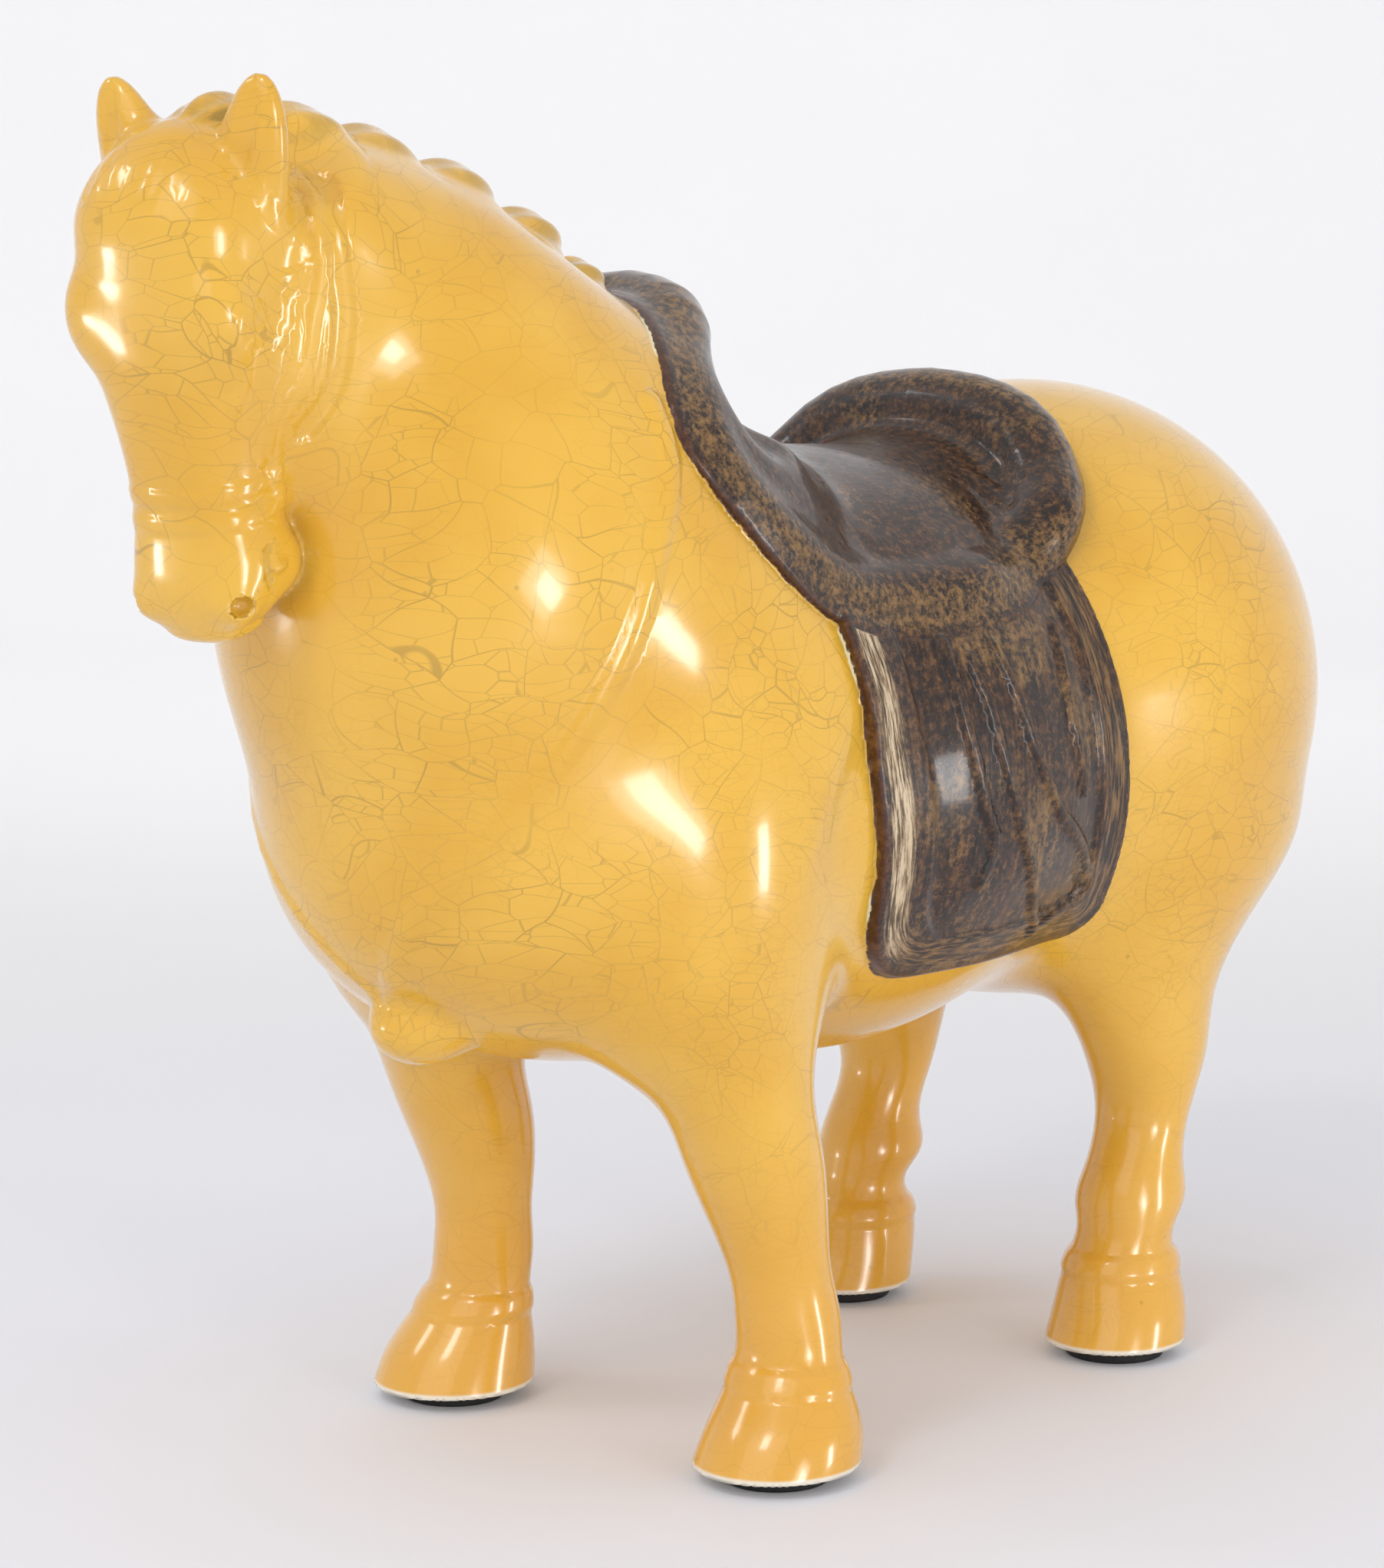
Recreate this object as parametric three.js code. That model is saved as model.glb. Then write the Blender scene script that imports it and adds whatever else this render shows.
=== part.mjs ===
// A slip-cast porcelain horse in yellow glaze, wearing a brown saddle with side flaps and a breast strap,
// on four round rubber pads. Millimetres, +Z up; the horse faces -Y, its left side is +X.
// The casting is one smooth surface: the level set of blended ellipsoids, lofts and rolls, sized below.
import * as THREE from "three";

// Trunk: ellipsoid centres and half sizes; the horse is symmetric about x = 0 except for its turned head
const CHEST = { at: [0, -10.8, 152], half: [65, 79.5, 57.4] };
const BELLY = { at: [0, 62, 158], half: [70, 93, 72.5] };
const RUMP = { at: [0, 155.2, 166.6], half: [75.4, 82, 79.7] };
const SHOULDER = { at: [39, -19, 140], half: [31, 34, 46] };
const THROAT = { at: [0, -108, 268], half: [20.5, 20, 40] };
const SEAT_HOLLOWS = [
  { at: [32, 35, 262], half: [42, 40.5, 29.5] },
  { at: [48, 8, 256], half: [20, 19, 23] },
];

// Neck: a cone leaning forward from the withers; rows are [along it, shift, half depth, half width]
const NECK_ROOT = [0, 15, 170];
const NECK_LEAN = 43.8;
const NECK_FROM = 10;
const NECK_LENGTH = 176;
const NECK = [
  [20, 10, 66, 64],
  [60, 10.8, 72.6, 60],
  [100, 10, 59.8, 51],
  [136, 0.3, 40, 31.7],
  [170, 2.6, 23.4, 25.5],
];

// Legs, from the hoof up: [height, centre x, centre y, half width, half depth]
const FRONT_LEG = [
  [3.5, 52.7, -0.6, 19.3, 20.4],
  [12, 52.8, 2.1, 17.9, 18.6],
  [27, 50.6, 6.2, 13.3, 12.1],
  [36, 49.7, 7, 12.3, 12.4],
  [46, 48.5, 5.9, 11.9, 12.1],
  [57, 47.3, 3.5, 13.6, 13.3],
  [75, 46.8, -2.2, 16.6, 16.2],
  [90, 46.4, -6.8, 17, 18],
  [112, 40.1, -7.2, 21.4, 25.3],
  [135, 34, -8, 24, 30],
  [158, 30, -6, 14, 18],
];
const HIND_LEG = [
  [3.5, 45.3, 140.1, 17.7, 18.3],
  [12, 44.9, 142.6, 16.8, 17],
  [25, 43.7, 144.8, 13.2, 14.6],
  [31.5, 44.2, 145.4, 12.4, 12.2],
  [38.5, 43.4, 148.4, 13.7, 14.3],
  [47, 43.5, 150, 12.3, 13.3],
  [60, 42.7, 154.2, 12.1, 11.9],
  [75, 42.9, 154.9, 14.7, 16.8],
  [90, 41.4, 153.8, 17.1, 22.8],
  [112, 37.3, 158.2, 24.9, 34.9],
  [135, 36.5, 167, 28.3, 38.9],
  [158, 33.3, 164, 16.4, 22.4],
];
const LEG_TOP = 158;
const SOLE = 3.4;
const CORONET = { at: 24, half: 3.6, rise: 0.9 };

// Head, in its own frame [left, forward, down the face]: rows are [down, half width, front, back]
const HEAD_AT = [-1.4, -130.2, 270.8];
const HEAD_TURN = 8;
const HEAD_TUCK = 13;
const HEAD_FROM = -40;
const HEAD_TO = 70.4;
const HEAD_SQUARENESS = 2.6;
const HEAD = [
  [-36, 14.1, 6, -17.7],
  [-22, 21.7, 13.4, -25],
  [-8, 22.4, 14.8, -31],
  [6, 21.6, 16.4, -32],
  [20, 19, 15.6, -29],
  [34, 15.8, 15, -18],
  [46, 16, 15, -11.4],
  [57, 16.8, 16.4, -11.4],
  [66, 12, 14.6, -4],
];
const BROW = { at: [14.7, 7, -0.9], half: [8.6, 7.2, 10.8] };
const JAW = { at: [10.2, -18, 6.5], half: [9.5, 17.5, 24] };
const CHIN = { at: [0, -4, 55], half: [16.6, 9.5, 11] };
const NOSTRIL = { at: [10.8, 10.3, 60], half: [4.6, 4.6, 4.4] };
const NOSTRIL_PIT = { at: [14.2, 12, 60.4], half: [2.5, 2.5, 2.2] };
const EYEBALL = { at: [19.2, 2, 1.3], half: [3.4, 4.2, 3] };
const BIT = { at: [16.6, 2, 54.3], half: [2, 3, 1.3] };
const NOSEBAND = { at: [36.6, 42.4], half: 2.4, rise: 0.35 };
const EAR = { halfWidth: 8.9, halfDepth: 5.6, groove: 3.2, depth: 0.9 };
const EARS = [
  { base: [-12.4, -10, -24.5], tip: [-17.3, -10, -48] },
  { base: [16, -10, -24.5], tip: [24, -10, -48.2] },
];

// Mane: knots along the crest, each an ellipsoid [y, z, half length, half height, half width]
const MANE_TILT = 9;
const MANE = [
  [-119, 307.8, 11, 9, 10],
  [-100, 305.9, 12.4, 9, 10],
  [-78.4, 301.5, 12.4, 8.8, 9.5],
  [-53.6, 293.9, 12.2, 8.8, 9.5],
  [-30.2, 283.6, 11.4, 8.4, 9],
  [-12.6, 273.6, 8.4, 7, 8],
];
const STRANDS = { around: 9, depth: 0.7, root: 0.4 };

// Tail: a clubbed braid down the back of the rump, [y, z, radius]
const TAIL = [
  [215, 222, 7],
  [231, 196, 9.5],
  [236.5, 160, 10.5],
  [235, 120, 10],
  [232.5, 92, 9],
  [231.5, 72, 7.5],
];

// Saddle: everything inside an ellipse of the side view, cut off in front, raised from the back
const SADDLE = { at: [46.5, 239.5], half: [80, 47] };
const SADDLE_FRONT = { normal: [-0.7, -0.71], reach: -144.5 };
const SADDLE_PAD = { edge: 1.4, middle: 3.4, from: 8, to: 30 };

// Its rolled edge on the left side, from pommel to cantle: [x, y, z, radius]; the rim is sunk in
const POMMEL = [
  [0, 7, 265.5, 11.5],
  [13, 3, 264, 11],
  [27.5, -10.5, 255.5, 9.6],
  [41, -19.5, 245, 8],
];
const RIM = [
  [51, -20, 236.5, 7.2],
  [58, -11, 227, 7.4],
  [61, 5, 216.5, 8],
  [61, 25, 208.5, 8.6],
  [59, 48, 205, 9],
  [57, 72, 205.5, 9],
  [54, 91, 210, 8.6],
];
const CANTLE = [
  [49, 104, 217, 8.2],
  [43, 111, 223, 8.5],
  [32.5, 116.5, 233, 9],
  [17, 118.5, 239.3, 9.4],
  [0, 118.5, 241, 9.5],
];
const RIM_SUNK = 3.6;
const RIM_PIECES = 40;

// Flap below the saddle: a rounded panel of the side view, sheared forward at the top, with sewn folds
const FLAP = { at: [61.8, 172], half: [46.8, 60], corners: [20, 10], shear: 0.14, inside: 25 };
const FLAP_RISE = 1.8;
const PANEL = { at: [64.4, 175], half: [33.5, 54], corners: [12, 8], shear: 0.14 };
const BORDER = { from: 2, to: -1, rise: 1 };
const STUFFING = { from: 0, to: 16, rise: 1.6 };
const FOLDS = [
  [[43, 192], [44, 180], [45, 172], [47, 163], [50, 153], [54, 146], [54, 141], [52, 135]],
  [[50, 188], [53, 178], [55, 168], [59, 157], [65, 145], [72, 135], [84, 121]],
  [[60, 190], [67, 168], [74, 156], [81, 148], [96, 138], [102, 132], [104, 127], [101, 123], [85, 118]],
  [[88, 192], [86, 183], [86, 170], [89, 160], [91, 153]],
];
const FOLD = { half: 2.2, rise: 1.3 };

// Breast strap on each side: [height, x, y], sunk in the surface to leave a flat raised band
const STRAP = [
  [250, 48, -37],
  [236, 55, -38],
  [222, 59, -45],
  [205, 59, -52],
  [183, 54, -63],
  [163, 43, -75],
  [145, 26, -82.5],
  [130, 12, -81],
  [117, 3, -74],
];
const STRAP_RADIUS = 6;
const STRAP_SUNK = 5;
const TASSEL = { at: [1, -62, 109.5], half: [11.5, 14, 9.5] };

// The middle of the horse's length, which the finished group is moved by
const MIDDLE_Y = 49.1;

// Pads under the hooves
const PAD_RADIUS = 12.5;
const PAD_HEIGHT = 3.1;
const PAD_SIDES = 40;

// Widths over which neighbouring forms run into each other
const BLEND = {
  trunk: 30, shoulder: 14, throat: 14, neck: 25, leg: 22,
  seat: 8, brow: 8, eye: 2, chin: 3, nostril: 5, ear: 7, pit: 1.2,
  tail: 6, strap: 0.8, tassel: 7, mane: 9, head: 5,
  saddleFront: 16, rim: 9, saddleEdge: 2.2, flapEdge: 1.8, dress: 0.8,
};
const ENDS = { neckRoot: 10, neckTop: 14, legTop: 6, sole: 1.6, headTop: 22, chin: 12, flapInside: 5 };
const STRAP_PIECES = 21;
const SINKING_PASSES = 8;

// Meshing: the box searched and its grid step, then the triangles kept by the simplification
const LOWEST = [-92.3, -170.2, 0.6];
const HIGHEST = [92, 262, 340];
const SEED = [0, -160, 150];
const STEP = 2.6;
const FILLED = 0.01;
const KEEP_TRIANGLES = 9300;
const COLLAPSE_SHARE = 0.16;
const EVENNESS = 2e-5;
const THINNEST = 0.05;
const MIDDLE_PULL = 0.002;
const LEAST_COSINE = 0.3;

const GLAZE = new THREE.MeshStandardMaterial({ name: "glaze", color: 0xe9b347, roughness: 0.18 });
const RUBBER = new THREE.MeshStandardMaterial({ name: "pad_rubber", color: 0x17171a, roughness: 0.8 });

const radians = THREE.MathUtils.degToRad;
const clamp = THREE.MathUtils.clamp;
const slope = THREE.MathUtils.smoothstep;

// Blends: the smaller or larger of two distances, rounded over a width
function join(a, b, width) {
  const h = Math.max(width - Math.abs(a - b), 0) / width;
  return Math.min(a, b) - (h * h * h * width) / 6;
}

function cut(a, b, width) {
  return -join(-a, -b, width);
}

function ellipsoid([x, y, z], { at, half }) {
  const [u, v, w] = [(x - at[0]) / half[0], (y - at[1]) / half[1], (z - at[2]) / half[2]];
  const length = Math.hypot(u, v, w);
  return (length * (length - 1)) / Math.max(Math.hypot(u / half[0], v / half[1], w / half[2]), 1e-9);
}

function ellipse(u, v, halfU, halfV) {
  const length = Math.hypot(u / halfU, v / halfV);
  const steepness = Math.hypot(u / halfU ** 2, v / halfV ** 2);
  return length < 1e-6 ? -Math.min(halfU, halfV) : (length * (length - 1)) / Math.max(steepness, 1e-9);
}

function capsule([x, y, z], a, b, radiusA, radiusB) {
  const [dx, dy, dz] = [b[0] - a[0], b[1] - a[1], b[2] - a[2]];
  const along = (x - a[0]) * dx + (y - a[1]) * dy + (z - a[2]) * dz;
  const t = clamp(along / (dx * dx + dy * dy + dz * dz), 0, 1);
  const away = Math.hypot(x - a[0] - t * dx, y - a[1] - t * dy, z - a[2] - t * dz);
  return away - radiusA - (radiusB - radiusA) * t;
}

// A chain of capsules through [x, y, z, radius] points
function roll(p, points) {
  let nearest = Infinity;
  for (let i = 1; i < points.length; i++) {
    const [a, b] = [points[i - 1], points[i]];
    nearest = Math.min(nearest, capsule(p, a, b, a[3], b[3]));
  }
  return nearest;
}

// Natural cubic spline through rows of [t, values...], held at its end values outside them
function spline(rows) {
  const n = rows.length;
  const width = rows[0].length - 1;
  const second = rows.map(() => new Array(width).fill(0));
  for (let k = 1; k <= width; k++) {
    const ratio = new Array(n).fill(0);
    const rest = new Array(n).fill(0);
    for (let i = 1; i < n - 1; i++) {
      const before = rows[i][0] - rows[i - 1][0];
      const after = rows[i + 1][0] - rows[i][0];
      const bend = 6 * ((rows[i + 1][k] - rows[i][k]) / after - (rows[i][k] - rows[i - 1][k]) / before);
      const pivot = 2 * (before + after) - before * ratio[i - 1];
      ratio[i] = after / pivot;
      rest[i] = (bend - before * rest[i - 1]) / pivot;
    }
    for (let i = n - 2; i > 0; i--) second[i][k - 1] = rest[i] - ratio[i] * second[i + 1][k - 1];
  }
  return (t) => {
    const at = clamp(t, rows[0][0], rows[n - 1][0]);
    let i = 0;
    while (i < n - 2 && rows[i + 1][0] < at) i++;
    const gap = rows[i + 1][0] - rows[i][0];
    const a = (rows[i + 1][0] - at) / gap;
    const b = 1 - a;
    return second[i].map((_, k) => {
      const bow = ((a ** 3 - a) * second[i][k] + (b ** 3 - b) * second[i + 1][k]) * (gap ** 2 / 6);
      return a * rows[i][k + 1] + b * rows[i + 1][k + 1] + bow;
    });
  };
}

// A rounded bump of the given rise, centred on zero and gone at the half width
function bump(distance, half, rise) {
  const t = clamp(1 - (distance / half) ** 2, 0, 1);
  return rise * t * t * (3 - 2 * t);
}

const neckRow = spline(NECK);
const frontRow = spline(FRONT_LEG);
const hindRow = spline(HIND_LEG);
const headRow = spline(HEAD);

function mirrored([x, y, z]) {
  return [Math.abs(x), y, z];
}

function trunk(p) {
  const barrel = join(ellipsoid(p, CHEST), ellipsoid(p, BELLY), BLEND.trunk);
  const whole = join(barrel, ellipsoid(p, RUMP), BLEND.trunk);
  return join(whole, ellipsoid(mirrored(p), SHOULDER), BLEND.shoulder);
}

function neck([x, y, z]) {
  const [lean, rise] = [Math.sin(radians(NECK_LEAN)), Math.cos(radians(NECK_LEAN))];
  const along = -(y - NECK_ROOT[1]) * lean + (z - NECK_ROOT[2]) * rise;
  const across = -(y - NECK_ROOT[1]) * rise - (z - NECK_ROOT[2]) * lean;
  const [shift, depth, width] = neckRow(along);
  const cone = ellipse(x, across - shift, width, depth);
  return cut(cut(cone, NECK_FROM - along, ENDS.neckRoot), along - NECK_LENGTH, ENDS.neckTop);
}

function leg([x, y, z], row) {
  const [centreX, centreY, width, depth] = row(z);
  const ring = bump(z - CORONET.at, CORONET.half, CORONET.rise);
  const shaft = ellipse(Math.abs(x) - centreX, y - centreY, width, depth) - ring;
  return cut(cut(shaft, z - LEG_TOP, ENDS.legTop), SOLE - z, ENDS.sole);
}

// The body without its dress: trunk, neck, throat and legs
function body(p) {
  const side = mirrored(p);
  let torso = join(trunk(p), join(neck(p), ellipsoid(p, THROAT), BLEND.throat), BLEND.neck);
  for (const hollow of SEAT_HOLLOWS) torso = cut(torso, -ellipsoid(side, hollow), BLEND.seat);
  return join(join(torso, leg(p, frontRow), BLEND.leg), leg(p, hindRow), BLEND.leg);
}

const headAxes = (() => {
  const [turn, tuck] = [radians(HEAD_TURN), radians(HEAD_TUCK)];
  const ahead = new THREE.Vector3(Math.sin(turn), -Math.cos(turn), 0);
  const down = new THREE.Vector3(0, 0, -1);
  const left = new THREE.Vector3(Math.cos(turn), Math.sin(turn), 0);
  const face = down.clone().multiplyScalar(Math.cos(tuck)).addScaledVector(ahead, -Math.sin(tuck));
  const front = ahead.clone().multiplyScalar(Math.cos(tuck)).addScaledVector(down, Math.sin(tuck));
  return [left, front, face].map((axis) => axis.toArray());
})();

function intoHead([x, y, z]) {
  const [dx, dy, dz] = [x - HEAD_AT[0], y - HEAD_AT[1], z - HEAD_AT[2]];
  return headAxes.map(([a, b, c]) => dx * a + dy * b + dz * c);
}

// Each ear's axes, across it, towards its front and along it
const earAxes = EARS.map(({ base, tip }) => {
  const axis = new THREE.Vector3(...tip).sub(new THREE.Vector3(...base));
  const length = axis.length();
  axis.normalize();
  const across = axis.clone().cross(new THREE.Vector3(0, 1, 0)).normalize();
  const front = across.clone().cross(axis);
  return { base, length, axes: [across, front, axis].map((one) => one.toArray()) };
});

// A leaf: a flat ellipsoid from its base to its tip, grooved down the front
function ear(q, { base, length, axes }) {
  const [dx, dy, dz] = [q[0] - base[0], q[1] - base[1], q[2] - base[2]];
  const local = axes.map(([a, b, c]) => dx * a + dy * b + dz * c);
  const leaf = ellipsoid(local, { at: [0, 0, 0], half: [EAR.halfWidth, EAR.halfDepth, length] });
  return leaf + bump(local[0], EAR.groove, EAR.depth) * slope(local[1], 0, EAR.halfDepth);
}

function head(p) {
  const q = intoHead(p);
  const [left, front, down] = q;
  const side = mirrored(q);
  const [width, ahead, behind] = headRow(down);
  const depth = (ahead - behind) / 2;
  const u = Math.abs(left / width) ** HEAD_SQUARENESS;
  const v = Math.abs((front - (ahead + behind) / 2) / depth) ** HEAD_SQUARENESS;
  const mask = ((u + v + 1e-12) ** (1 / HEAD_SQUARENESS) - 1) * Math.min(width, depth);
  let skull = cut(cut(mask, HEAD_FROM - down, ENDS.headTop), down - HEAD_TO, ENDS.chin);
  skull = join(skull, ellipsoid(side, BROW), BLEND.brow);
  skull = join(skull, ellipsoid(side, JAW), BLEND.brow);
  skull = join(skull, ellipsoid(side, EYEBALL), BLEND.eye);
  skull = join(skull, ellipsoid(q, CHIN), BLEND.chin);
  skull = join(skull, ellipsoid(side, NOSTRIL), BLEND.nostril);
  skull = join(skull, ellipsoid(side, BIT), BLEND.eye);
  for (const at of NOSEBAND.at) skull -= bump(down - at, NOSEBAND.half, NOSEBAND.rise);
  for (const one of earAxes) skull = join(skull, ear(q, one), BLEND.ear);
  return cut(skull, -ellipsoid(side, NOSTRIL_PIT), BLEND.pit);
}

function mane([x, y, z]) {
  const [c, s] = [Math.cos(radians(MANE_TILT)), Math.sin(radians(MANE_TILT))];
  let knots = Infinity;
  for (const [atY, atZ, length, height, width] of MANE) {
    const [dy, dz] = [y - atY, z - atZ];
    const turned = [x, dy * c - dz * s, dy * s + dz * c];
    const angle = Math.atan2(x, turned[2] + STRANDS.root * height);
    const groove = (STRANDS.depth * (1 - Math.cos(STRANDS.around * angle))) / 2;
    const knot = ellipsoid(turned, { at: [0, 0, 0], half: [width, length, height] });
    knots = Math.min(knots, knot + groove);
  }
  return knots;
}

// Slides a point along the surface normal of the body to a depth below it
function sink(p, depth) {
  let at = p;
  for (let pass = 0; pass < SINKING_PASSES; pass++) {
    const normal = gradient(body, at);
    const move = (body(at) + depth) / normal.lengthSq();
    at = at.map((value, axis) => value - normal.getComponent(axis) * move);
  }
  return at;
}

function gradient(field, [x, y, z], reach = 0.05) {
  return new THREE.Vector3(
    field([x + reach, y, z]) - field([x - reach, y, z]),
    field([x, y + reach, z]) - field([x, y - reach, z]),
    field([x, y, z + reach]) - field([x, y, z - reach]),
  ).divideScalar(2 * reach);
}

const strapPath = (() => {
  const row = spline([...STRAP].reverse());
  const [top, bottom] = [STRAP[0][0], STRAP[STRAP.length - 1][0]];
  return Array.from({ length: STRAP_PIECES + 1 }, (_, i) => {
    const height = bottom + ((top - bottom) * i) / STRAP_PIECES;
    return [...sink([...row(height), height], STRAP_SUNK), STRAP_RADIUS];
  });
})();

const tailPath = TAIL.map(([y, z, radius]) => [0, y, z, radius]);

// The saddle's rolled edge, smoothed along its length
const saddlePath = (() => {
  const rim = RIM.map(([x, y, z, radius]) => [...sink([x, y, z], RIM_SUNK), radius]);
  const rows = [...POMMEL, ...rim, ...CANTLE];
  let along = 0;
  const measured = rows.map(([x, y, z, radius], i) => {
    const before = rows[Math.max(i - 1, 0)];
    along += Math.hypot(x - before[0], y - before[1], z - before[2]);
    return [along, x, y, z, radius];
  });
  const path = spline(measured);
  return Array.from({ length: RIM_PIECES + 1 }, (_, i) => path((along * i) / RIM_PIECES));
})();

function saddleOutline([, y, z]) {
  const oval = ellipse(y - SADDLE.at[0], z - SADDLE.at[1], SADDLE.half[0], SADDLE.half[1]);
  const front = y * SADDLE_FRONT.normal[0] + z * SADDLE_FRONT.normal[1] - SADDLE_FRONT.reach;
  return cut(oval, front, BLEND.saddleFront);
}

// The body raised into the saddle's padding, with the rolled edge laid on it
function saddle(p, skin) {
  const outline = saddleOutline(p);
  const swell = slope(-outline, SADDLE_PAD.from, SADDLE_PAD.to);
  const padding = skin - SADDLE_PAD.edge - (SADDLE_PAD.middle - SADDLE_PAD.edge) * swell;
  return cut(join(padding, roll(mirrored(p), saddlePath), BLEND.rim), outline, BLEND.saddleEdge);
}

// A rounded panel in the side view; its corners in front and behind may differ
function shearedBox([, y, z], { at, half, corners, shear }) {
  const behind = y + shear * (z - at[1]) - at[0];
  const corner = behind < 0 ? corners[0] : corners[1];
  const along = Math.abs(behind) - half[0] + corner;
  const down = Math.abs(z - at[1]) - half[1] + corner;
  const beyond = Math.hypot(Math.max(along, 0), Math.max(down, 0));
  return beyond + Math.min(Math.max(along, down), 0) - corner;
}

const foldPaths = FOLDS.map((line) => line.map(([y, z]) => [0, y, z, 0]));

function foldRise([, y, z]) {
  const rises = foldPaths.map((path) => bump(roll([0, y, z], path), FOLD.half, FOLD.rise));
  return Math.max(...rises);
}

function flap(p, skin) {
  const inside = -shearedBox(p, PANEL);
  const border = BORDER.rise * (1 - slope(inside, BORDER.to, BORDER.from));
  const stuffing = STUFFING.rise * slope(inside, STUFFING.from, STUFFING.to);
  const thick = FLAP_RISE + border + stuffing + foldRise(p);
  const cloth = cut(skin - thick, shearedBox(p, FLAP), BLEND.flapEdge);
  return cut(cloth, FLAP.inside - Math.abs(p[0]), ENDS.flapInside);
}

function horse(p) {
  const side = mirrored(p);
  const bare = body(p);
  let skin = join(bare, roll(p, tailPath), BLEND.tail);
  skin = join(skin, roll(side, strapPath), BLEND.strap);
  skin = join(skin, ellipsoid(p, TASSEL), BLEND.tassel);
  skin = join(skin, mane(p), BLEND.mane);
  skin = join(skin, head(p), BLEND.head);
  skin = join(skin, flap(p, bare), BLEND.dress);
  return join(skin, saddle(p, bare), BLEND.dress);
}

// The level set as a closed quad net, grown cell by cell from a seed cell on the surface
function surfaceNet(field, low, high, step, seed) {
  const count = high.map((value, axis) => Math.ceil((value - low[axis]) / step) + 1);
  const stride = [count[1] * count[2], count[2], 1];
  const values = new Float32Array(count[0] * stride[0]).fill(NaN);
  const spot = (node) => {
    const row = Math.floor(node / count[2]);
    return [Math.floor(row / count[1]), row % count[1], node % count[2]];
  };
  const place = (node) => spot(node).map((index, axis) => low[axis] + index * step);
  const value = (node) => {
    if (Number.isNaN(values[node])) values[node] = field(place(node));
    return values[node];
  };
  const inside = (node) => value(node) < 0;
  const corners = [0, 1, 2, 3, 4, 5, 6, 7];
  const offsets = corners.map((i) => (i & 1) * stride[0] + ((i >> 1) & 1) * stride[1] + (i >> 2));
  const mixed = (cell, some) => some.some((offset) => inside(cell + offset) !== inside(cell + some[0]));

  let start = seed.reduce((sum, at, axis) => sum + Math.round((at - low[axis]) / step) * stride[axis], 0);
  while (!mixed(start, offsets)) start += stride[1];

  // The cells that the surface passes through, each with its number
  function grow() {
    const number = new Map([[start, 0]]);
    for (const cell of number.keys()) {
      stride.forEach((across, axis) => {
        const near = offsets.filter((_, i) => !((i >> axis) & 1));
        const far = near.map((offset) => offset + across);
        if (mixed(cell, near) && !number.has(cell - across)) number.set(cell - across, number.size);
        if (mixed(cell, far) && !number.has(cell + across)) number.set(cell + across, number.size);
      });
    }
    return number;
  }

  // Where a cell's face is cut twice the net would pinch: the outer corner nearest the surface is filled
  function unpinch(cells) {
    let filled = false;
    for (const cell of cells) {
      for (let axis = 0; axis < 3; axis++) {
        const [u, v] = [stride[(axis + 1) % 3], stride[(axis + 2) % 3]];
        const square = [cell, cell + u, cell + u + v, cell + v];
        const outer = square.filter((corner) => !inside(corner));
        if (outer.length !== 2 || inside(square[0]) !== inside(square[2])) continue;
        values[value(outer[0]) < value(outer[1]) ? outer[0] : outer[1]] = -FILLED;
        filled = true;
      }
    }
    return filled;
  }

  // The mean of the points where the surface cuts the edges of a cell
  function crossing(cell) {
    const sum = [0, 0, 0];
    let hits = 0;
    for (let i = 0; i < 8; i++) {
      for (let axis = 0; axis < 3; axis++) {
        const [a, b] = [cell + offsets[i], cell + offsets[i | (1 << axis)]];
        if (a === b || inside(a) === inside(b)) continue;
        const t = value(a) / (value(a) - value(b));
        place(a).forEach((at, k) => (sum[k] += at + (k === axis ? t * step : 0)));
        hits++;
      }
    }
    return sum.map((total) => total / hits);
  }

  let number = grow();
  while (unpinch(number.keys())) number = grow();
  const points = [...number.keys()].map(crossing);
  const faces = [];
  for (const cell of number.keys()) {
    for (let axis = 0; axis < 3; axis++) {
      if (inside(cell) === inside(cell + stride[axis])) continue;
      const [u, v] = [stride[(axis + 1) % 3], stride[(axis + 2) % 3]];
      const ring = [cell, cell - u, cell - u - v, cell - v].map((at) => number.get(at));
      if (!inside(cell)) ring.reverse();
      faces.push([ring[0], ring[1], ring[2]], [ring[0], ring[2], ring[3]]);
    }
  }
  return { points: points.map((at) => settle(field, at, step)), faces };
}

// Moves a point onto the level set along its normal
function settle(field, at, limit) {
  let point = at;
  for (let pass = 0; pass < 2; pass++) {
    const normal = gradient(field, point);
    const move = clamp(field(point) / Math.max(normal.lengthSq(), 1e-6), -limit, limit);
    point = point.map((value, axis) => value - normal.getComponent(axis) * move);
  }
  return new THREE.Vector3(...point);
}

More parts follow.
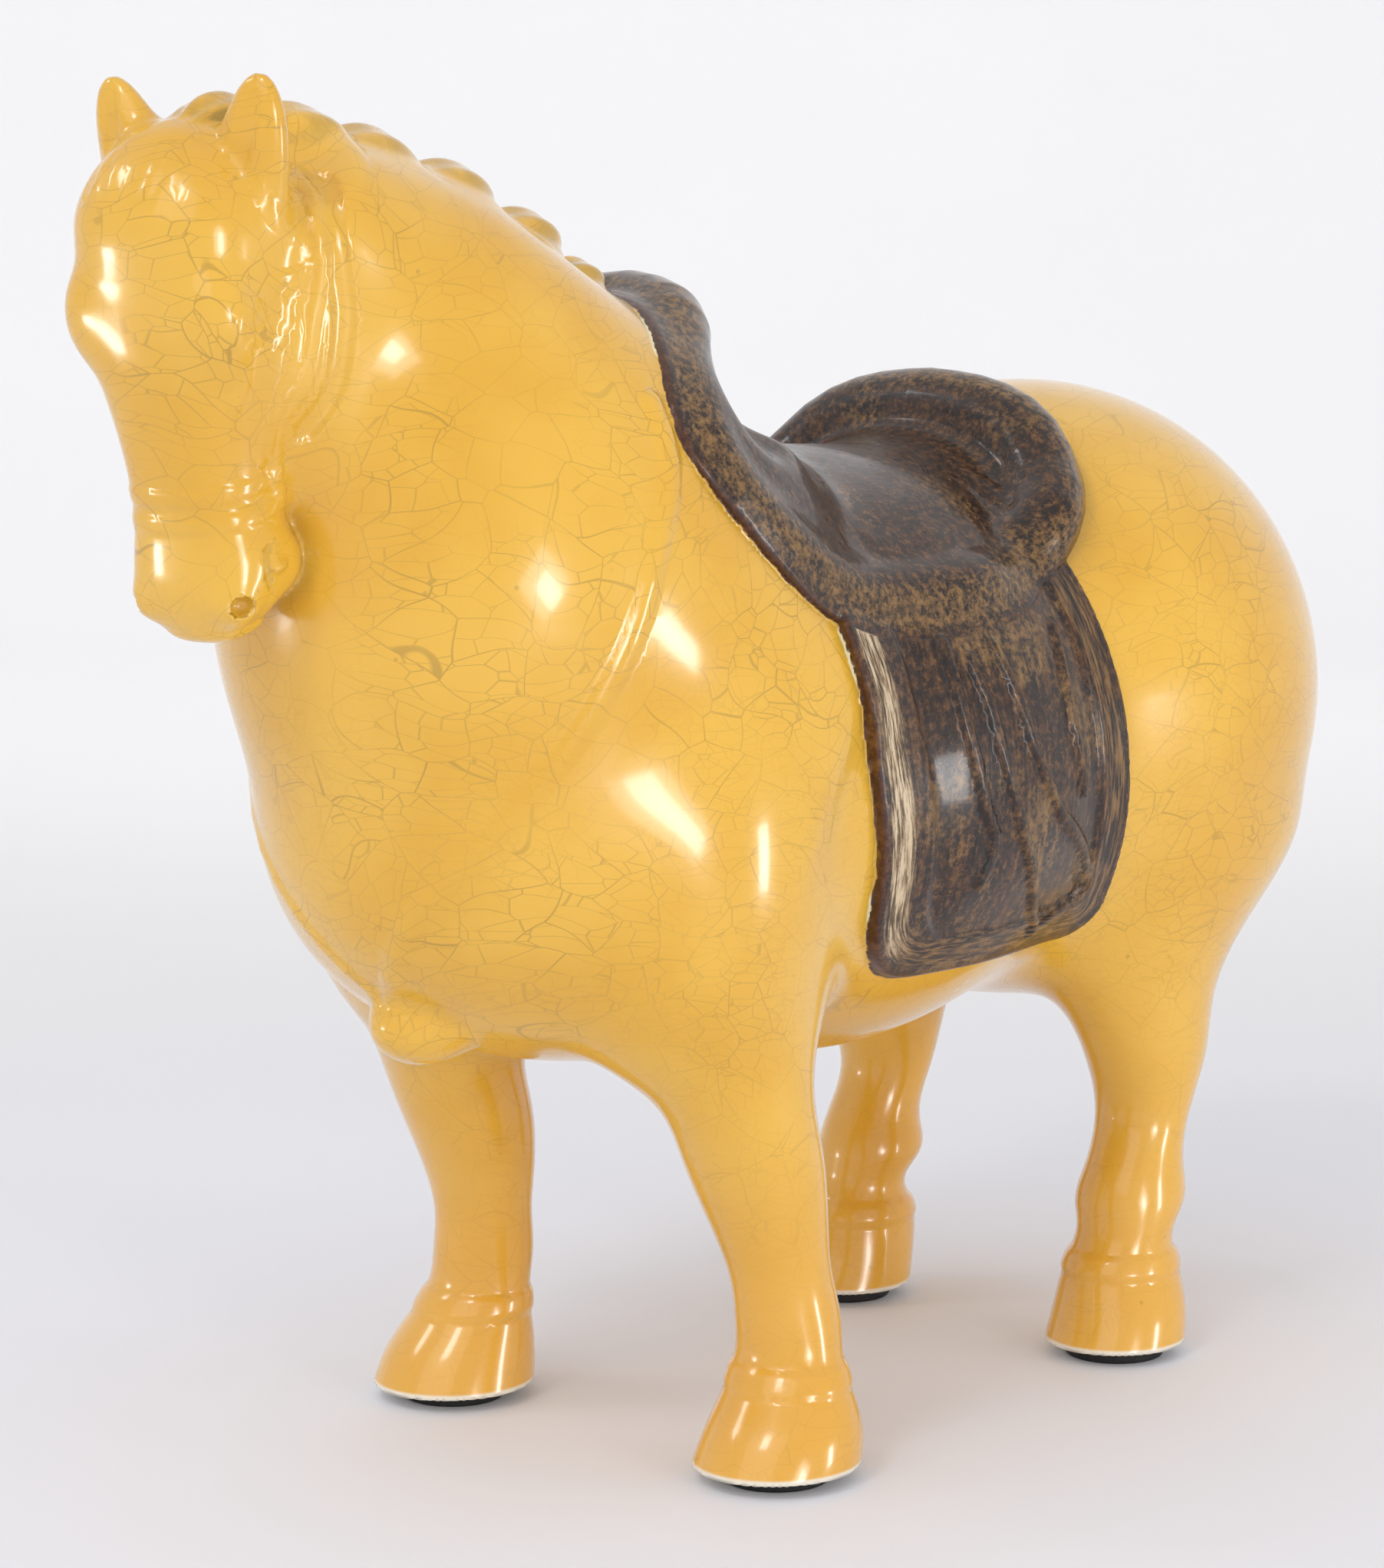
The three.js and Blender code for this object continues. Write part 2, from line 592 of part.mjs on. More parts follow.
// Collapses the cheapest edges first until the net is down to the wanted number of triangles.
// The cost of an edge is the summed squared distance of its new point from the planes of nearby faces.
function simplify({ points, faces }, wanted) {
  let kept = faces;
  while (kept.length > wanted) {
    const planes = points.map(() => new THREE.Matrix4().multiplyScalar(0));
    const around = points.map(() => []);
    for (const face of kept) addPlane(face, points, planes, around);
    const edges = kept.flatMap(([a, b, c]) => [[a, b], [b, c], [c, a]]).filter(([a, b]) => a < b);
    const offers = edges.map(([a, b]) => offer(a, b, points, planes));
    offers.sort((one, two) => one.cost - two.cost);
    const moved = new Set();
    const goal = Math.min(kept.length - wanted, kept.length * COLLAPSE_SHARE);
    let gone = 0;
    for (const { a, b, at } of offers) {
      if (gone >= goal) break;
      if (moved.has(a) || moved.has(b) || !collapsible(a, b, at, points, around)) continue;
      for (const face of [...around[a], ...around[b]]) face.forEach((vertex) => moved.add(vertex));
      for (const face of around[b]) face[face.indexOf(b)] = a;
      points[a] = at;
      gone += 2;
    }
    const before = kept.length;
    kept = kept.filter(([a, b, c]) => a !== b && b !== c && c !== a);
    if (kept.length === before) break;
  }
  return { points, faces: kept };
}

function addPlane(face, points, planes, around) {
  const [a, b, c] = face.map((vertex) => points[vertex]);
  const normal = new THREE.Vector3().subVectors(b, a).cross(new THREE.Vector3().subVectors(c, a));
  const area = normal.length() / 2;
  normal.normalize();
  const plane = [normal.x, normal.y, normal.z, -normal.dot(a)];
  for (const vertex of face) {
    const sum = planes[vertex].elements;
    for (let i = 0; i < 16; i++) sum[i] += area * plane[i >> 2] * plane[i & 3];
    around[vertex].push(face);
  }
}

// The best new point for an edge: the least squares point of both ends' planes, held near the middle
function offer(a, b, points, planes) {
  const sum = planes[a].elements.map((value, i) => value + planes[b].elements[i]);
  const middle = points[a].clone().lerp(points[b], 0.5);
  const hold = MIDDLE_PULL * (sum[0] + sum[5] + sum[10]);
  const matrix = new THREE.Matrix3().set(
    sum[0] + hold, sum[1], sum[2],
    sum[4], sum[5] + hold, sum[6],
    sum[8], sum[9], sum[10] + hold,
  );
  const right = new THREE.Vector3(-sum[3], -sum[7], -sum[11]).addScaledVector(middle, hold);
  const at = right.applyMatrix3(matrix.invert());
  const reach = points[a].distanceTo(points[b]);
  if (!(at.distanceTo(middle) < reach)) at.copy(middle);
  const h = [at.x, at.y, at.z, 1];
  let cost = EVENNESS * reach ** 4;
  for (let i = 0; i < 16; i++) cost += sum[i] * h[i >> 2] * h[i & 3];
  return { a, b, at, cost };
}

// An edge may go when its ends share just the two faces' far corners, and no face around it turns over
function collapsible(a, b, at, points, around) {
  const ring = (vertex) => new Set(around[vertex].flat().filter((other) => other !== vertex));
  const others = ring(b);
  const shared = [...ring(a)].filter((vertex) => others.has(vertex));
  if (shared.length !== 2) return false;
  return [a, b].every((end) =>
    around[end].every((face) => {
      if (face.includes(a) && face.includes(b)) return true;
      const before = face.map((vertex) => points[vertex]);
      const after = face.map((vertex) => (vertex === end ? at : points[vertex]));
      const [was, is] = [before, after].map(([p, q, r]) => q.clone().sub(p).cross(r.clone().sub(p)));
      return was.dot(is) > LEAST_COSINE * was.length() * is.length() && is.length() > THINNEST;
    }),
  );
}

// The casting as one indexed mesh
function casting() {
  const { points, faces } = simplify(surfaceNet(horse, LOWEST, HIGHEST, STEP, SEED), KEEP_TRIANGLES);
  const used = [...new Set(faces.flat())];
  const number = new Map(used.map((point, i) => [point, i]));
  const geometry = new THREE.BufferGeometry().setFromPoints(used.map((point) => points[point]));
  geometry.setIndex(faces.flat().map((point) => number.get(point)));
  geometry.computeVertexNormals();
  const mesh = new THREE.Mesh(geometry, GLAZE);
  mesh.name = "horse";
  return mesh;
}

// A round pad flat on the floor under the middle of a hoof
function pad(name, side, [, x, y]) {
  const geometry = new THREE.CylinderGeometry(PAD_RADIUS, PAD_RADIUS, PAD_HEIGHT, PAD_SIDES);
  const mesh = new THREE.Mesh(geometry, RUBBER);
  mesh.name = name;
  mesh.rotation.x = Math.PI / 2;
  mesh.position.set(side * x, y, PAD_HEIGHT / 2);
  return mesh;
}

const sculpture = new THREE.Group();
sculpture.name = "porcelain_horse";
sculpture.position.y = -MIDDLE_Y;
sculpture.add(casting());
sculpture.add(pad("pad_front_left", 1, FRONT_LEG[0]), pad("pad_front_right", -1, FRONT_LEG[0]));
sculpture.add(pad("pad_hind_left", 1, HIND_LEG[0]), pad("pad_hind_right", -1, HIND_LEG[0]));
export default sculpture;
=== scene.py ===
"""Looks of a slip-cast porcelain horse: yellow crackle glaze, a saddle painted brown, and round pads under the hooves.

The casting is the level set of blended ellipsoids, lofts and rolls. Its sizes are in millimetres, in a frame
where the horse faces -Y, its left side is +X and the pads stand on z = 0; the meshes are made in metres.
"""
import math

import bpy
import numpy as np
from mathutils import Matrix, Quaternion, Vector


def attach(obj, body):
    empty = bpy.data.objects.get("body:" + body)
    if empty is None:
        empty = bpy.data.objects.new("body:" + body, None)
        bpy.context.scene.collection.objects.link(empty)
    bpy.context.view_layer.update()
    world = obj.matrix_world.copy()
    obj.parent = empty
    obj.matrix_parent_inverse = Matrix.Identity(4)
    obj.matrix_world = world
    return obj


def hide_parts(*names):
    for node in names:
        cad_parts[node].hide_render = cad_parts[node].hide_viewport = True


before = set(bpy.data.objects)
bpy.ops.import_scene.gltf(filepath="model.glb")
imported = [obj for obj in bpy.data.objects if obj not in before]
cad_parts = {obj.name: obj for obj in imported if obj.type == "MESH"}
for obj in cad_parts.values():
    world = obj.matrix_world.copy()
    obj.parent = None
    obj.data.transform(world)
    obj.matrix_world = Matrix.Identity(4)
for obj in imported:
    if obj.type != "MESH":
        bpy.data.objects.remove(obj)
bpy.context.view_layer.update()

MM = 0.001

# Trunk: ellipsoid centres and half sizes
CHEST = ((0, -10.8, 152), (65, 79.5, 57.4))
BELLY = ((0, 62, 158), (70, 93, 72.5))
RUMP = ((0, 155.2, 166.6), (75.4, 82, 79.7))
SHOULDER = ((39, -19, 140), (31, 34, 46))
THROAT = ((0, -108, 268), (20.5, 20, 40))
SEAT_HOLLOWS = (
    ((32, 35, 262), (42, 40.5, 29.5)),
    ((48, 8, 256), (20, 19, 23)),
)

# Neck: a cone leaning forward from the withers, in rows of distance along it, shift, half depth, half width
NECK_ROOT = (15, 170)
NECK_LEAN = 43.8
NECK_FROM = 10
NECK_LENGTH = 176
NECK = (
    (20, 10, 66, 64),
    (60, 10.8, 72.6, 60),
    (100, 10, 59.8, 51),
    (136, 0.3, 40, 31.7),
    (170, 2.6, 23.4, 25.5),
)

# Legs from the hoof up: height, centre x, centre y, half width, half depth
FRONT_LEG = (
    (3.5, 52.7, -0.6, 19.3, 20.4),
    (12, 52.8, 2.1, 17.9, 18.6),
    (27, 50.6, 6.2, 13.3, 12.1),
    (36, 49.7, 7, 12.3, 12.4),
    (46, 48.5, 5.9, 11.9, 12.1),
    (57, 47.3, 3.5, 13.6, 13.3),
    (75, 46.8, -2.2, 16.6, 16.2),
    (90, 46.4, -6.8, 17, 18),
    (112, 40.1, -7.2, 21.4, 25.3),
    (135, 34, -8, 24, 30),
    (158, 30, -6, 14, 18),
)
HIND_LEG = (
    (3.5, 45.3, 140.1, 17.7, 18.3),
    (12, 44.9, 142.6, 16.8, 17),
    (25, 43.7, 144.8, 13.2, 14.6),
    (31.5, 44.2, 145.4, 12.4, 12.2),
    (38.5, 43.4, 148.4, 13.7, 14.3),
    (47, 43.5, 150, 12.3, 13.3),
    (60, 42.7, 154.2, 12.1, 11.9),
    (75, 42.9, 154.9, 14.7, 16.8),
    (90, 41.4, 153.8, 17.1, 22.8),
    (112, 37.3, 158.2, 24.9, 34.9),
    (135, 36.5, 167, 28.3, 38.9),
    (158, 33.3, 164, 16.4, 22.4),
)
LEG_TOP = 158
SOLE = 3.4
CORONET = {"at": 24, "half": 3.6, "rise": 0.9}

# Head, in its own frame of left, forward and down the face: rows are down, half width, front, back
HEAD_AT = (-1.4, -130.2, 270.8)
HEAD_TURN = 8
HEAD_TUCK = 13
HEAD_FROM = -40
HEAD_TO = 70.4
HEAD_SQUARENESS = 2.6
HEAD = (
    (-36, 14.1, 6, -17.7),
    (-22, 21.7, 13.4, -25),
    (-8, 22.4, 14.8, -31),
    (6, 21.6, 16.4, -32),
    (20, 19, 15.6, -29),
    (34, 15.8, 15, -18),
    (46, 16, 15, -11.4),
    (57, 16.8, 16.4, -11.4),
    (66, 12, 14.6, -4),
)
BROW = ((14.7, 7, -0.9), (8.6, 7.2, 10.8))
JAW = ((10.2, -18, 6.5), (9.5, 17.5, 24))
CHIN = ((0, -4, 55), (16.6, 9.5, 11))
NOSTRIL = ((10.8, 10.3, 60), (4.6, 4.6, 4.4))
NOSTRIL_PIT = ((14.2, 12, 60.4), (2.5, 2.5, 2.2))
EYEBALL = ((19.2, 2, 1.3), (3.4, 4.2, 3))
BIT = ((16.6, 2, 54.3), (2, 3, 1.3))
NOSEBAND = {"at": (36.6, 42.4), "half": 2.4, "rise": 0.35}
EAR = {"half_width": 8.9, "half_depth": 5.6, "groove": 3.2, "depth": 0.9}
EARS = (
    {"base": (-12.4, -10, -24.5), "tip": (-17.3, -10, -48)},
    {"base": (16, -10, -24.5), "tip": (24, -10, -48.2)},
)

# Raised and sunken lines on each side of the head, in its own frame: half width, rise, then points
HEAD_LINES = (
    (2, 0.34, (21, -19, -7.8), (22, -9, -5.7), (22, -2.4, -4.4), (22, 3.2, -3.2), (21.5, 7, -1.7), (21.5, 8.5, 1),
     (21.5, 8, 4.5), (21, 5.6, 8.1), (20, 4.6, 11.4), (18.5, 5.6, 14.6), (17.2, 7, 17.8), (16.2, 7.5, 21.2)),
    (2, 0.3, (21, -20, -7.5), (22, -14.7, -5.3), (22, -10.2, -2.4), (22, -8.1, 0.5), (22, -7.5, 3.3),
     (21.6, -5.3, 6.9), (21, -2.3, 9.5)),
    (1.7, 0.34, (22, 6.6, 1.1), (22, 5.2, -1.3), (22, 2.4, -2.4), (22, -0.2, -1.1), (22, -2.5, 1.5)),
    (1.7, 0.28, (22, 6.6, 1.1), (22, 5.2, 3.5), (21.6, 1.9, 5), (21.6, -1.5, 4.1), (22, -2.5, 1.5)),
    (2.7, 0.5, (19.5, -14, -33), (20, -19.5, -28.5), (20.7, -22.2, -22.6), (23.7, -20.7, -19), (25.9, -18.8, -16.2),
     (27.1, -17, -9.6), (26.8, -16.4, -3.8), (25.6, -14.6, 2.2), (23.6, -11.6, 13), (19.7, -8.9, 19.2),
     (18.1, -4.6, 23.8), (16.7, -3.4, 29), (15.7, -3.6, 34.6), (15.6, -5, 40), (15.4, -6.5, 46)),
    (2.2, 0.24, (19.6, -12.5, -31), (21, -18, -23.5), (25.3, -16.8, -14.8), (26.1, -16, -9.9)),
    (2.3, 0.26, (21, -3.4, -28.5), (21.9, -5.4, -25.2), (23.2, -7, -19.5), (22.9, -11.4, -14.4), (22, -17, -9.5)),
    (2.3, 0.28, (23, -11.2, 2), (21.8, -9.4, 7.5), (20.3, -6.6, 16), (18.3, -2.5, 22.8), (16.5, -0.8, 29.6),
     (15.8, 1.1, 33.7)),
    (3.4, -0.9, (20, -24, -33), (24, -24, -26), (26.6, -22.4, -19), (27.4, -20.6, -12), (28.4, -19.8, -1.5),
     (28.2, -19.9, 3.5), (27.4, -18.8, 9.9), (25.9, -16.7, 17.7), (23.7, -13.8, 23.6), (20.9, -9.9, 27.6),
     (18.3, -7.6, 31.1)),
    (1.3, -0.6, (17, -1.2, 48.6), (17.4, 3.6, 50), (17.7, 5.7, 53.7), (17.4, 4.6, 57.7), (15.4, 2.5, 61.8)),
    (2.6, -0.2, (4, 3, -37), (3, 8.4, -31), (2, 12, -23.5)),
    (2.6, -0.2, (8, 1.6, -36.5), (7.6, 7.6, -31), (7, 11.4, -23.5)),
    (2.6, -0.2, (11.5, -1, -35.5), (12.4, 6.6, -30), (13.4, 9.8, -23)),
    (2.6, -0.2, (14.5, -3, -33.6), (16.6, 3, -28.5), (19, 5.2, -22.5)),
)
LINE_STEPS = 4

# Mane: knots along the crest, each an ellipsoid of y, z, half length, half height, half width
MANE_TILT = 9
MANE = (
    (-119, 307.8, 11, 9, 10),
    (-100, 305.9, 12.4, 9, 10),
    (-78.4, 301.5, 12.4, 8.8, 9.5),
    (-53.6, 293.9, 12.2, 8.8, 9.5),
    (-30.2, 283.6, 11.4, 8.4, 9),
    (-12.6, 273.6, 8.4, 7, 8),
)
STRANDS = {"around": 9, "depth": 0.7, "root": 0.4}

# Tail: a clubbed braid down the back of the rump, in rows of y, z, radius
TAIL = (
    (215, 222, 7),
    (231, 196, 9.5),
    (236.5, 160, 10.5),
    (235, 120, 10),
    (232.5, 92, 9),
    (231.5, 72, 7.5),
)

# Saddle: everything inside an ellipse of the side view, raised from the back with a rolled edge
SADDLE = ((46.5, 239.5), (80, 47))
SADDLE_FRONT = {"normal": (-0.70, -0.71), "reach": -144.5}
SADDLE_PAD = {"edge": 1.4, "middle": 3.4, "from": 8, "to": 30}

# Its rolled edge on the left side, from pommel to cantle: x, y, z, radius; the middle rows are sunk in the skin
POMMEL = ((0, 7, 265.5, 11.5), (13, 3, 264, 11), (27.5, -10.5, 255.5, 9.6), (41, -19.5, 245, 8))
RIM = (
    (51, -20, 236.5, 7.2),
    (58, -11, 227, 7.4),
    (61, 5, 216.5, 8),
    (61, 25, 208.5, 8.6),
    (59, 48, 205, 9),
    (57, 72, 205.5, 9),
    (54, 91, 210, 8.6),
)
CANTLE = (
    (49, 104, 217, 8.2),
    (43, 111, 223, 8.5),
    (32.5, 116.5, 233, 9),
    (17, 118.5, 239.3, 9.4),
    (0, 118.5, 241, 9.5),
)
RIM_SUNK = 3.6
RIM_PIECES = 40

# Flap below the saddle: a rounded panel of the side view, sheared forward at the top, with sewn folds
FLAP = {"at": (61.8, 172), "half": (46.8, 60), "corners": (20, 10), "shear": 0.14, "inside": 25}
FLAP_RISE = 1.8
PANEL = {"at": (64.4, 175), "half": (33.5, 54), "corners": (12, 8), "shear": 0.14}
BORDER = {"from": 2, "to": -1, "rise": 1}
STUFFING = {"from": 0, "to": 16, "rise": 1.6}
FOLDS = (
    ((43, 192), (44, 180), (45, 172), (47, 163), (50, 153), (54, 146), (54, 141), (52, 135)),
    ((50, 188), (53, 178), (55, 168), (59, 157), (65, 145), (72, 135), (84, 121)),
    ((60, 190), (67, 168), (74, 156), (81, 148), (96, 138), (102, 132), (104, 127), (101, 123), (85, 118)),
    ((88, 192), (86, 183), (86, 170), (89, 160), (91, 153)),
)
FOLD = {"half": 2.2, "rise": 1.3}

# Breast strap on each side: height, x, y, sunk in the surface to leave a flat raised band
STRAP = (
    (250, 48, -37),
    (236, 55, -38),
    (222, 59, -45),
    (205, 59, -52),
    (183, 54, -63),
    (163, 43, -75),
    (145, 26, -82.5),
    (130, 12, -81),
    (117, 3, -74),
)
STRAP_RADIUS = 6
STRAP_SUNK = 5
STRAP_PIECES = 21
TASSEL = ((1, -62, 109.5), (11.5, 14, 9.5))

# Widths over which neighbouring forms run into each other
BLEND = {
    "trunk": 30, "shoulder": 14, "throat": 14, "neck": 25, "leg": 22,
    "seat": 8, "brow": 8, "eye": 2, "chin": 3, "nostril": 5, "ear": 7, "pit": 1.2,
    "tail": 6, "strap": 0.8, "tassel": 7, "mane": 9, "head": 5,
    "saddle_front": 16, "rim": 9, "saddle_edge": 2.2, "flap_edge": 1.8, "dress": 0.8,
}
ENDS = {"neck_root": 10, "neck_top": 14, "leg_top": 6, "sole": 1.6, "head_top": 22, "chin": 12, "flap_inside": 5}

# Meshing: the box searched, the grid step, and the triangles kept
LOWEST = (-92.3, -170.2, 0.6)
HIGHEST = (92, 262, 340)
STEP = 1.15
COARSE = 4
KEEP_TRIANGLES = 190000
MIDDLE_Y = 49.1


def join(a, b, width):
    """The smaller of two distances, rounded over a width."""
    h = np.maximum(width - np.abs(a - b), 0) / width
    return np.minimum(a, b) - h * h * h * width / 6


def cut(a, b, width):
    return -join(-a, -b, width)


def ellipsoid(p, form):
    at, half = (np.array(v, float) for v in form)
    q = p - at
    length = np.linalg.norm(q / half, axis=1)
    steepness = np.linalg.norm(q / half**2, axis=1)
    return length * (length - 1) / np.maximum(steepness, 1e-9)


def ellipse(u, v, half_u, half_v):
    length = np.hypot(u / half_u, v / half_v)
    steepness = np.hypot(u / half_u**2, v / half_v**2)
    outside = length * (length - 1) / np.maximum(steepness, 1e-9)
    return np.where(length < 1e-6, -np.minimum(half_u, half_v), outside)


def capsule(p, a, b, radius_a, radius_b):
    a, b = np.array(a, float), np.array(b, float)
    axis = b - a
    t = np.clip((p - a) @ axis / (axis @ axis), 0, 1)
    return np.linalg.norm(p - a - t[:, None] * axis, axis=1) - radius_a - (radius_b - radius_a) * t


def roll(p, points):
    """A chain of capsules through x, y, z, radius points."""
    nearest = np.full(len(p), np.inf)
    for a, b in zip(points[:-1], points[1:]):
        nearest = np.minimum(nearest, capsule(p, a[:3], b[:3], a[3], b[3]))
    return nearest


class Spline:
    """Natural cubic through rows of t, values..., held at its end values outside them."""

    def __init__(self, rows):
        rows = np.array(rows, float)
        self.t, self.values = rows[:, 0], rows[:, 1:]
        n, gap = len(self.t), np.diff(self.t)
        matrix, right = np.eye(n), np.zeros_like(self.values)
        for i in range(1, n - 1):
            matrix[i, i - 1 : i + 2] = gap[i - 1], 2 * (gap[i - 1] + gap[i]), gap[i]
            rise = np.diff(self.values[i - 1 : i + 2], axis=0) / gap[i - 1 : i + 1, None]
            right[i] = 6 * (rise[1] - rise[0])
        self.second = np.linalg.solve(matrix, right)

    def __call__(self, t):
        t = np.clip(t, self.t[0], self.t[-1])
        i = np.clip(np.searchsorted(self.t, t, side="right") - 1, 0, len(self.t) - 2)
        gap = (self.t[i + 1] - self.t[i])[:, None]
        a = (self.t[i + 1] - t)[:, None] / gap
        b = 1 - a
        bow = ((a**3 - a) * self.second[i] + (b**3 - b) * self.second[i + 1]) * gap**2 / 6
        return (a * self.values[i] + b * self.values[i + 1] + bow).T


def bump(distance, half, rise):
    """A rounded bump of the given rise, centred on zero and gone at the half width."""
    t = np.clip(1 - (distance / half) ** 2, 0, 1)
    return rise * t * t * (3 - 2 * t)


def slope(value, low, high):
    """Runs smoothly from 0 to 1 as the value runs from low to high."""
    t = np.clip((value - low) / (high - low), 0, 1)
    return t * t * (3 - 2 * t)


neck_row = Spline(NECK)
front_row = Spline(FRONT_LEG)
hind_row = Spline(HIND_LEG)
head_row = Spline(HEAD)


def mirrored(p):
    return np.column_stack([np.abs(p[:, 0]), p[:, 1], p[:, 2]])


def trunk(p):
    barrel = join(ellipsoid(p, CHEST), ellipsoid(p, BELLY), BLEND["trunk"])
    whole = join(barrel, ellipsoid(p, RUMP), BLEND["trunk"])
    return join(whole, ellipsoid(mirrored(p), SHOULDER), BLEND["shoulder"])


def neck(p):
    lean, rise = math.sin(math.radians(NECK_LEAN)), math.cos(math.radians(NECK_LEAN))
    y, z = p[:, 1] - NECK_ROOT[0], p[:, 2] - NECK_ROOT[1]
    along, across = z * rise - y * lean, -y * rise - z * lean
    shift, depth, width = neck_row(along)
    cone = ellipse(p[:, 0], across - shift, width, depth)
    return cut(cut(cone, NECK_FROM - along, ENDS["neck_root"]), along - NECK_LENGTH, ENDS["neck_top"])


def leg(p, row):
    x, y, width, depth = row(p[:, 2])
    shaft = ellipse(np.abs(p[:, 0]) - x, p[:, 1] - y, width, depth)
    shaft = shaft - bump(p[:, 2] - CORONET["at"], CORONET["half"], CORONET["rise"])
    return cut(cut(shaft, p[:, 2] - LEG_TOP, ENDS["leg_top"]), SOLE - p[:, 2], ENDS["sole"])


def body(p):
    """Trunk, neck, throat and legs, without the dress."""
    torso = join(trunk(p), join(neck(p), ellipsoid(p, THROAT), BLEND["throat"]), BLEND["neck"])
    side = mirrored(p)
    for hollow in SEAT_HOLLOWS:
        torso = cut(torso, -ellipsoid(side, hollow), BLEND["seat"])
    return join(join(torso, leg(p, front_row), BLEND["leg"]), leg(p, hind_row), BLEND["leg"])


def head_axes():
    turn, tuck = math.radians(HEAD_TURN), math.radians(HEAD_TUCK)
    ahead = np.array([math.sin(turn), -math.cos(turn), 0])
    down = np.array([0, 0, -1])
    left = np.array([math.cos(turn), math.sin(turn), 0])
    face = math.cos(tuck) * down - math.sin(tuck) * ahead
    front = math.cos(tuck) * ahead + math.sin(tuck) * down
    return np.array([left, front, face])


HEAD_AXES = head_axes()


def into_head(p):
    return (p - HEAD_AT) @ HEAD_AXES.T


def ear(q, base, tip):
    """A leaf: a flat ellipsoid from its base to its tip, grooved down the front."""
    base, tip = np.array(base, float), np.array(tip, float)
    length = np.linalg.norm(tip - base)
    axis = (tip - base) / length
    side = np.cross(axis, [0.0, 1.0, 0.0])
    side /= np.linalg.norm(side)
    front = np.cross(side, axis)
    local = (q - base) @ np.array([side, front, axis]).T
    leaf = ellipsoid(local, ((0, 0, 0), (EAR["half_width"], EAR["half_depth"], length)))
    return leaf + bump(local[:, 0], EAR["groove"], EAR["depth"]) * slope(local[:, 1], 0, EAR["half_depth"])


def head(p):
    q = into_head(p)
    left, front, down = q.T
    side = mirrored(q)
    width, ahead, behind = head_row(down)
    depth = (ahead - behind) / 2
    u = np.abs(left / width) ** HEAD_SQUARENESS
    v = np.abs((front - (ahead + behind) / 2) / depth) ** HEAD_SQUARENESS
    mask = ((u + v + 1e-12) ** (1 / HEAD_SQUARENESS) - 1) * np.minimum(width, depth)
    skull = cut(cut(mask, HEAD_FROM - down, ENDS["head_top"]), down - HEAD_TO, ENDS["chin"])
    skull = join(skull, ellipsoid(side, BROW), BLEND["brow"])
    skull = join(skull, ellipsoid(side, JAW), BLEND["brow"])
    skull = join(skull, ellipsoid(side, EYEBALL), BLEND["eye"])
    skull = join(skull, ellipsoid(q, CHIN), BLEND["chin"])
    skull = join(skull, ellipsoid(side, NOSTRIL), BLEND["nostril"])
    skull = join(skull, ellipsoid(side, BIT), BLEND["eye"])
    for at in NOSEBAND["at"]:
        skull = skull - bump(down - at, NOSEBAND["half"], NOSEBAND["rise"])
    for one in EARS:
        skull = join(skull, ear(q, **one), BLEND["ear"])
    return cut(skull, -ellipsoid(side, NOSTRIL_PIT), BLEND["pit"])


def mane(p):
    c, s = math.cos(math.radians(MANE_TILT)), math.sin(math.radians(MANE_TILT))
    knots = np.full(len(p), np.inf)
    for at_y, at_z, length, height, width in MANE:
        y, z = p[:, 1] - at_y, p[:, 2] - at_z
        turned = np.column_stack([p[:, 0], y * c - z * s, y * s + z * c])
        angle = np.arctan2(p[:, 0], turned[:, 2] + STRANDS["root"] * height)
        groove = STRANDS["depth"] * (1 - np.cos(STRANDS["around"] * angle)) / 2
        knots = np.minimum(knots, ellipsoid(turned, ((0, 0, 0), (width, length, height))) + groove)
    return knots


def gradient(field, p, value, reach=0.05):
    normal = np.empty_like(p)
    for axis in range(3):
        step = np.zeros(3)
        step[axis] = reach
        normal[:, axis] = (field(p + step) - value) / reach
    return normal


def settle(field, p, limit, passes, depth=0.0):
    """Moves points along the slope onto the level set at a depth."""
    for _ in range(passes):
        value = field(p)
        normal = gradient(field, p, value)
        move = np.clip((value + depth) / np.maximum((normal * normal).sum(1), 1e-6), -limit, limit)
        p = p - normal * move[:, None]
    return p


def strap_path():
    row = Spline(STRAP[::-1])
    height = np.linspace(STRAP[-1][0], STRAP[0][0], STRAP_PIECES + 1)
    points = np.column_stack([*row(height), height])
    sunk = settle(body, points, STRAP_RADIUS, 6, STRAP_SUNK)
    return np.column_stack([sunk, np.full(len(sunk), STRAP_RADIUS)])


def bare_head(q):
    """Head and body together, at points of the head's frame."""
    p = q @ HEAD_AXES + HEAD_AT
    return join(body(p), head(p), BLEND["head"])


def head_line(points):
    """A smooth line through the points, laid on the head."""
    row = Spline([(k, *point) for k, point in enumerate(points)])
    line = row(np.linspace(0, len(points) - 1, LINE_STEPS * (len(points) - 1) + 1)).T
    return settle(bare_head, line, 3, 6)


def relief(q):
    """Rise of the head's lines at points of its frame; each runs out to nothing at its ends."""
    side = mirrored(q)
    rise = np.zeros(len(q))
    for half, height, line in HEAD_RELIEF:
        low, high = line.min(0) - half, line.max(0) + half
        near = np.all((side > low) & (side < high), axis=1)
        taper = -half * np.clip(1 - np.minimum(np.arange(len(line)), np.arange(len(line))[::-1]) / LINE_STEPS, 0, 1)
        rise[near] += bump(roll(side[near], np.column_stack([line, taper])), half, height)
    return rise


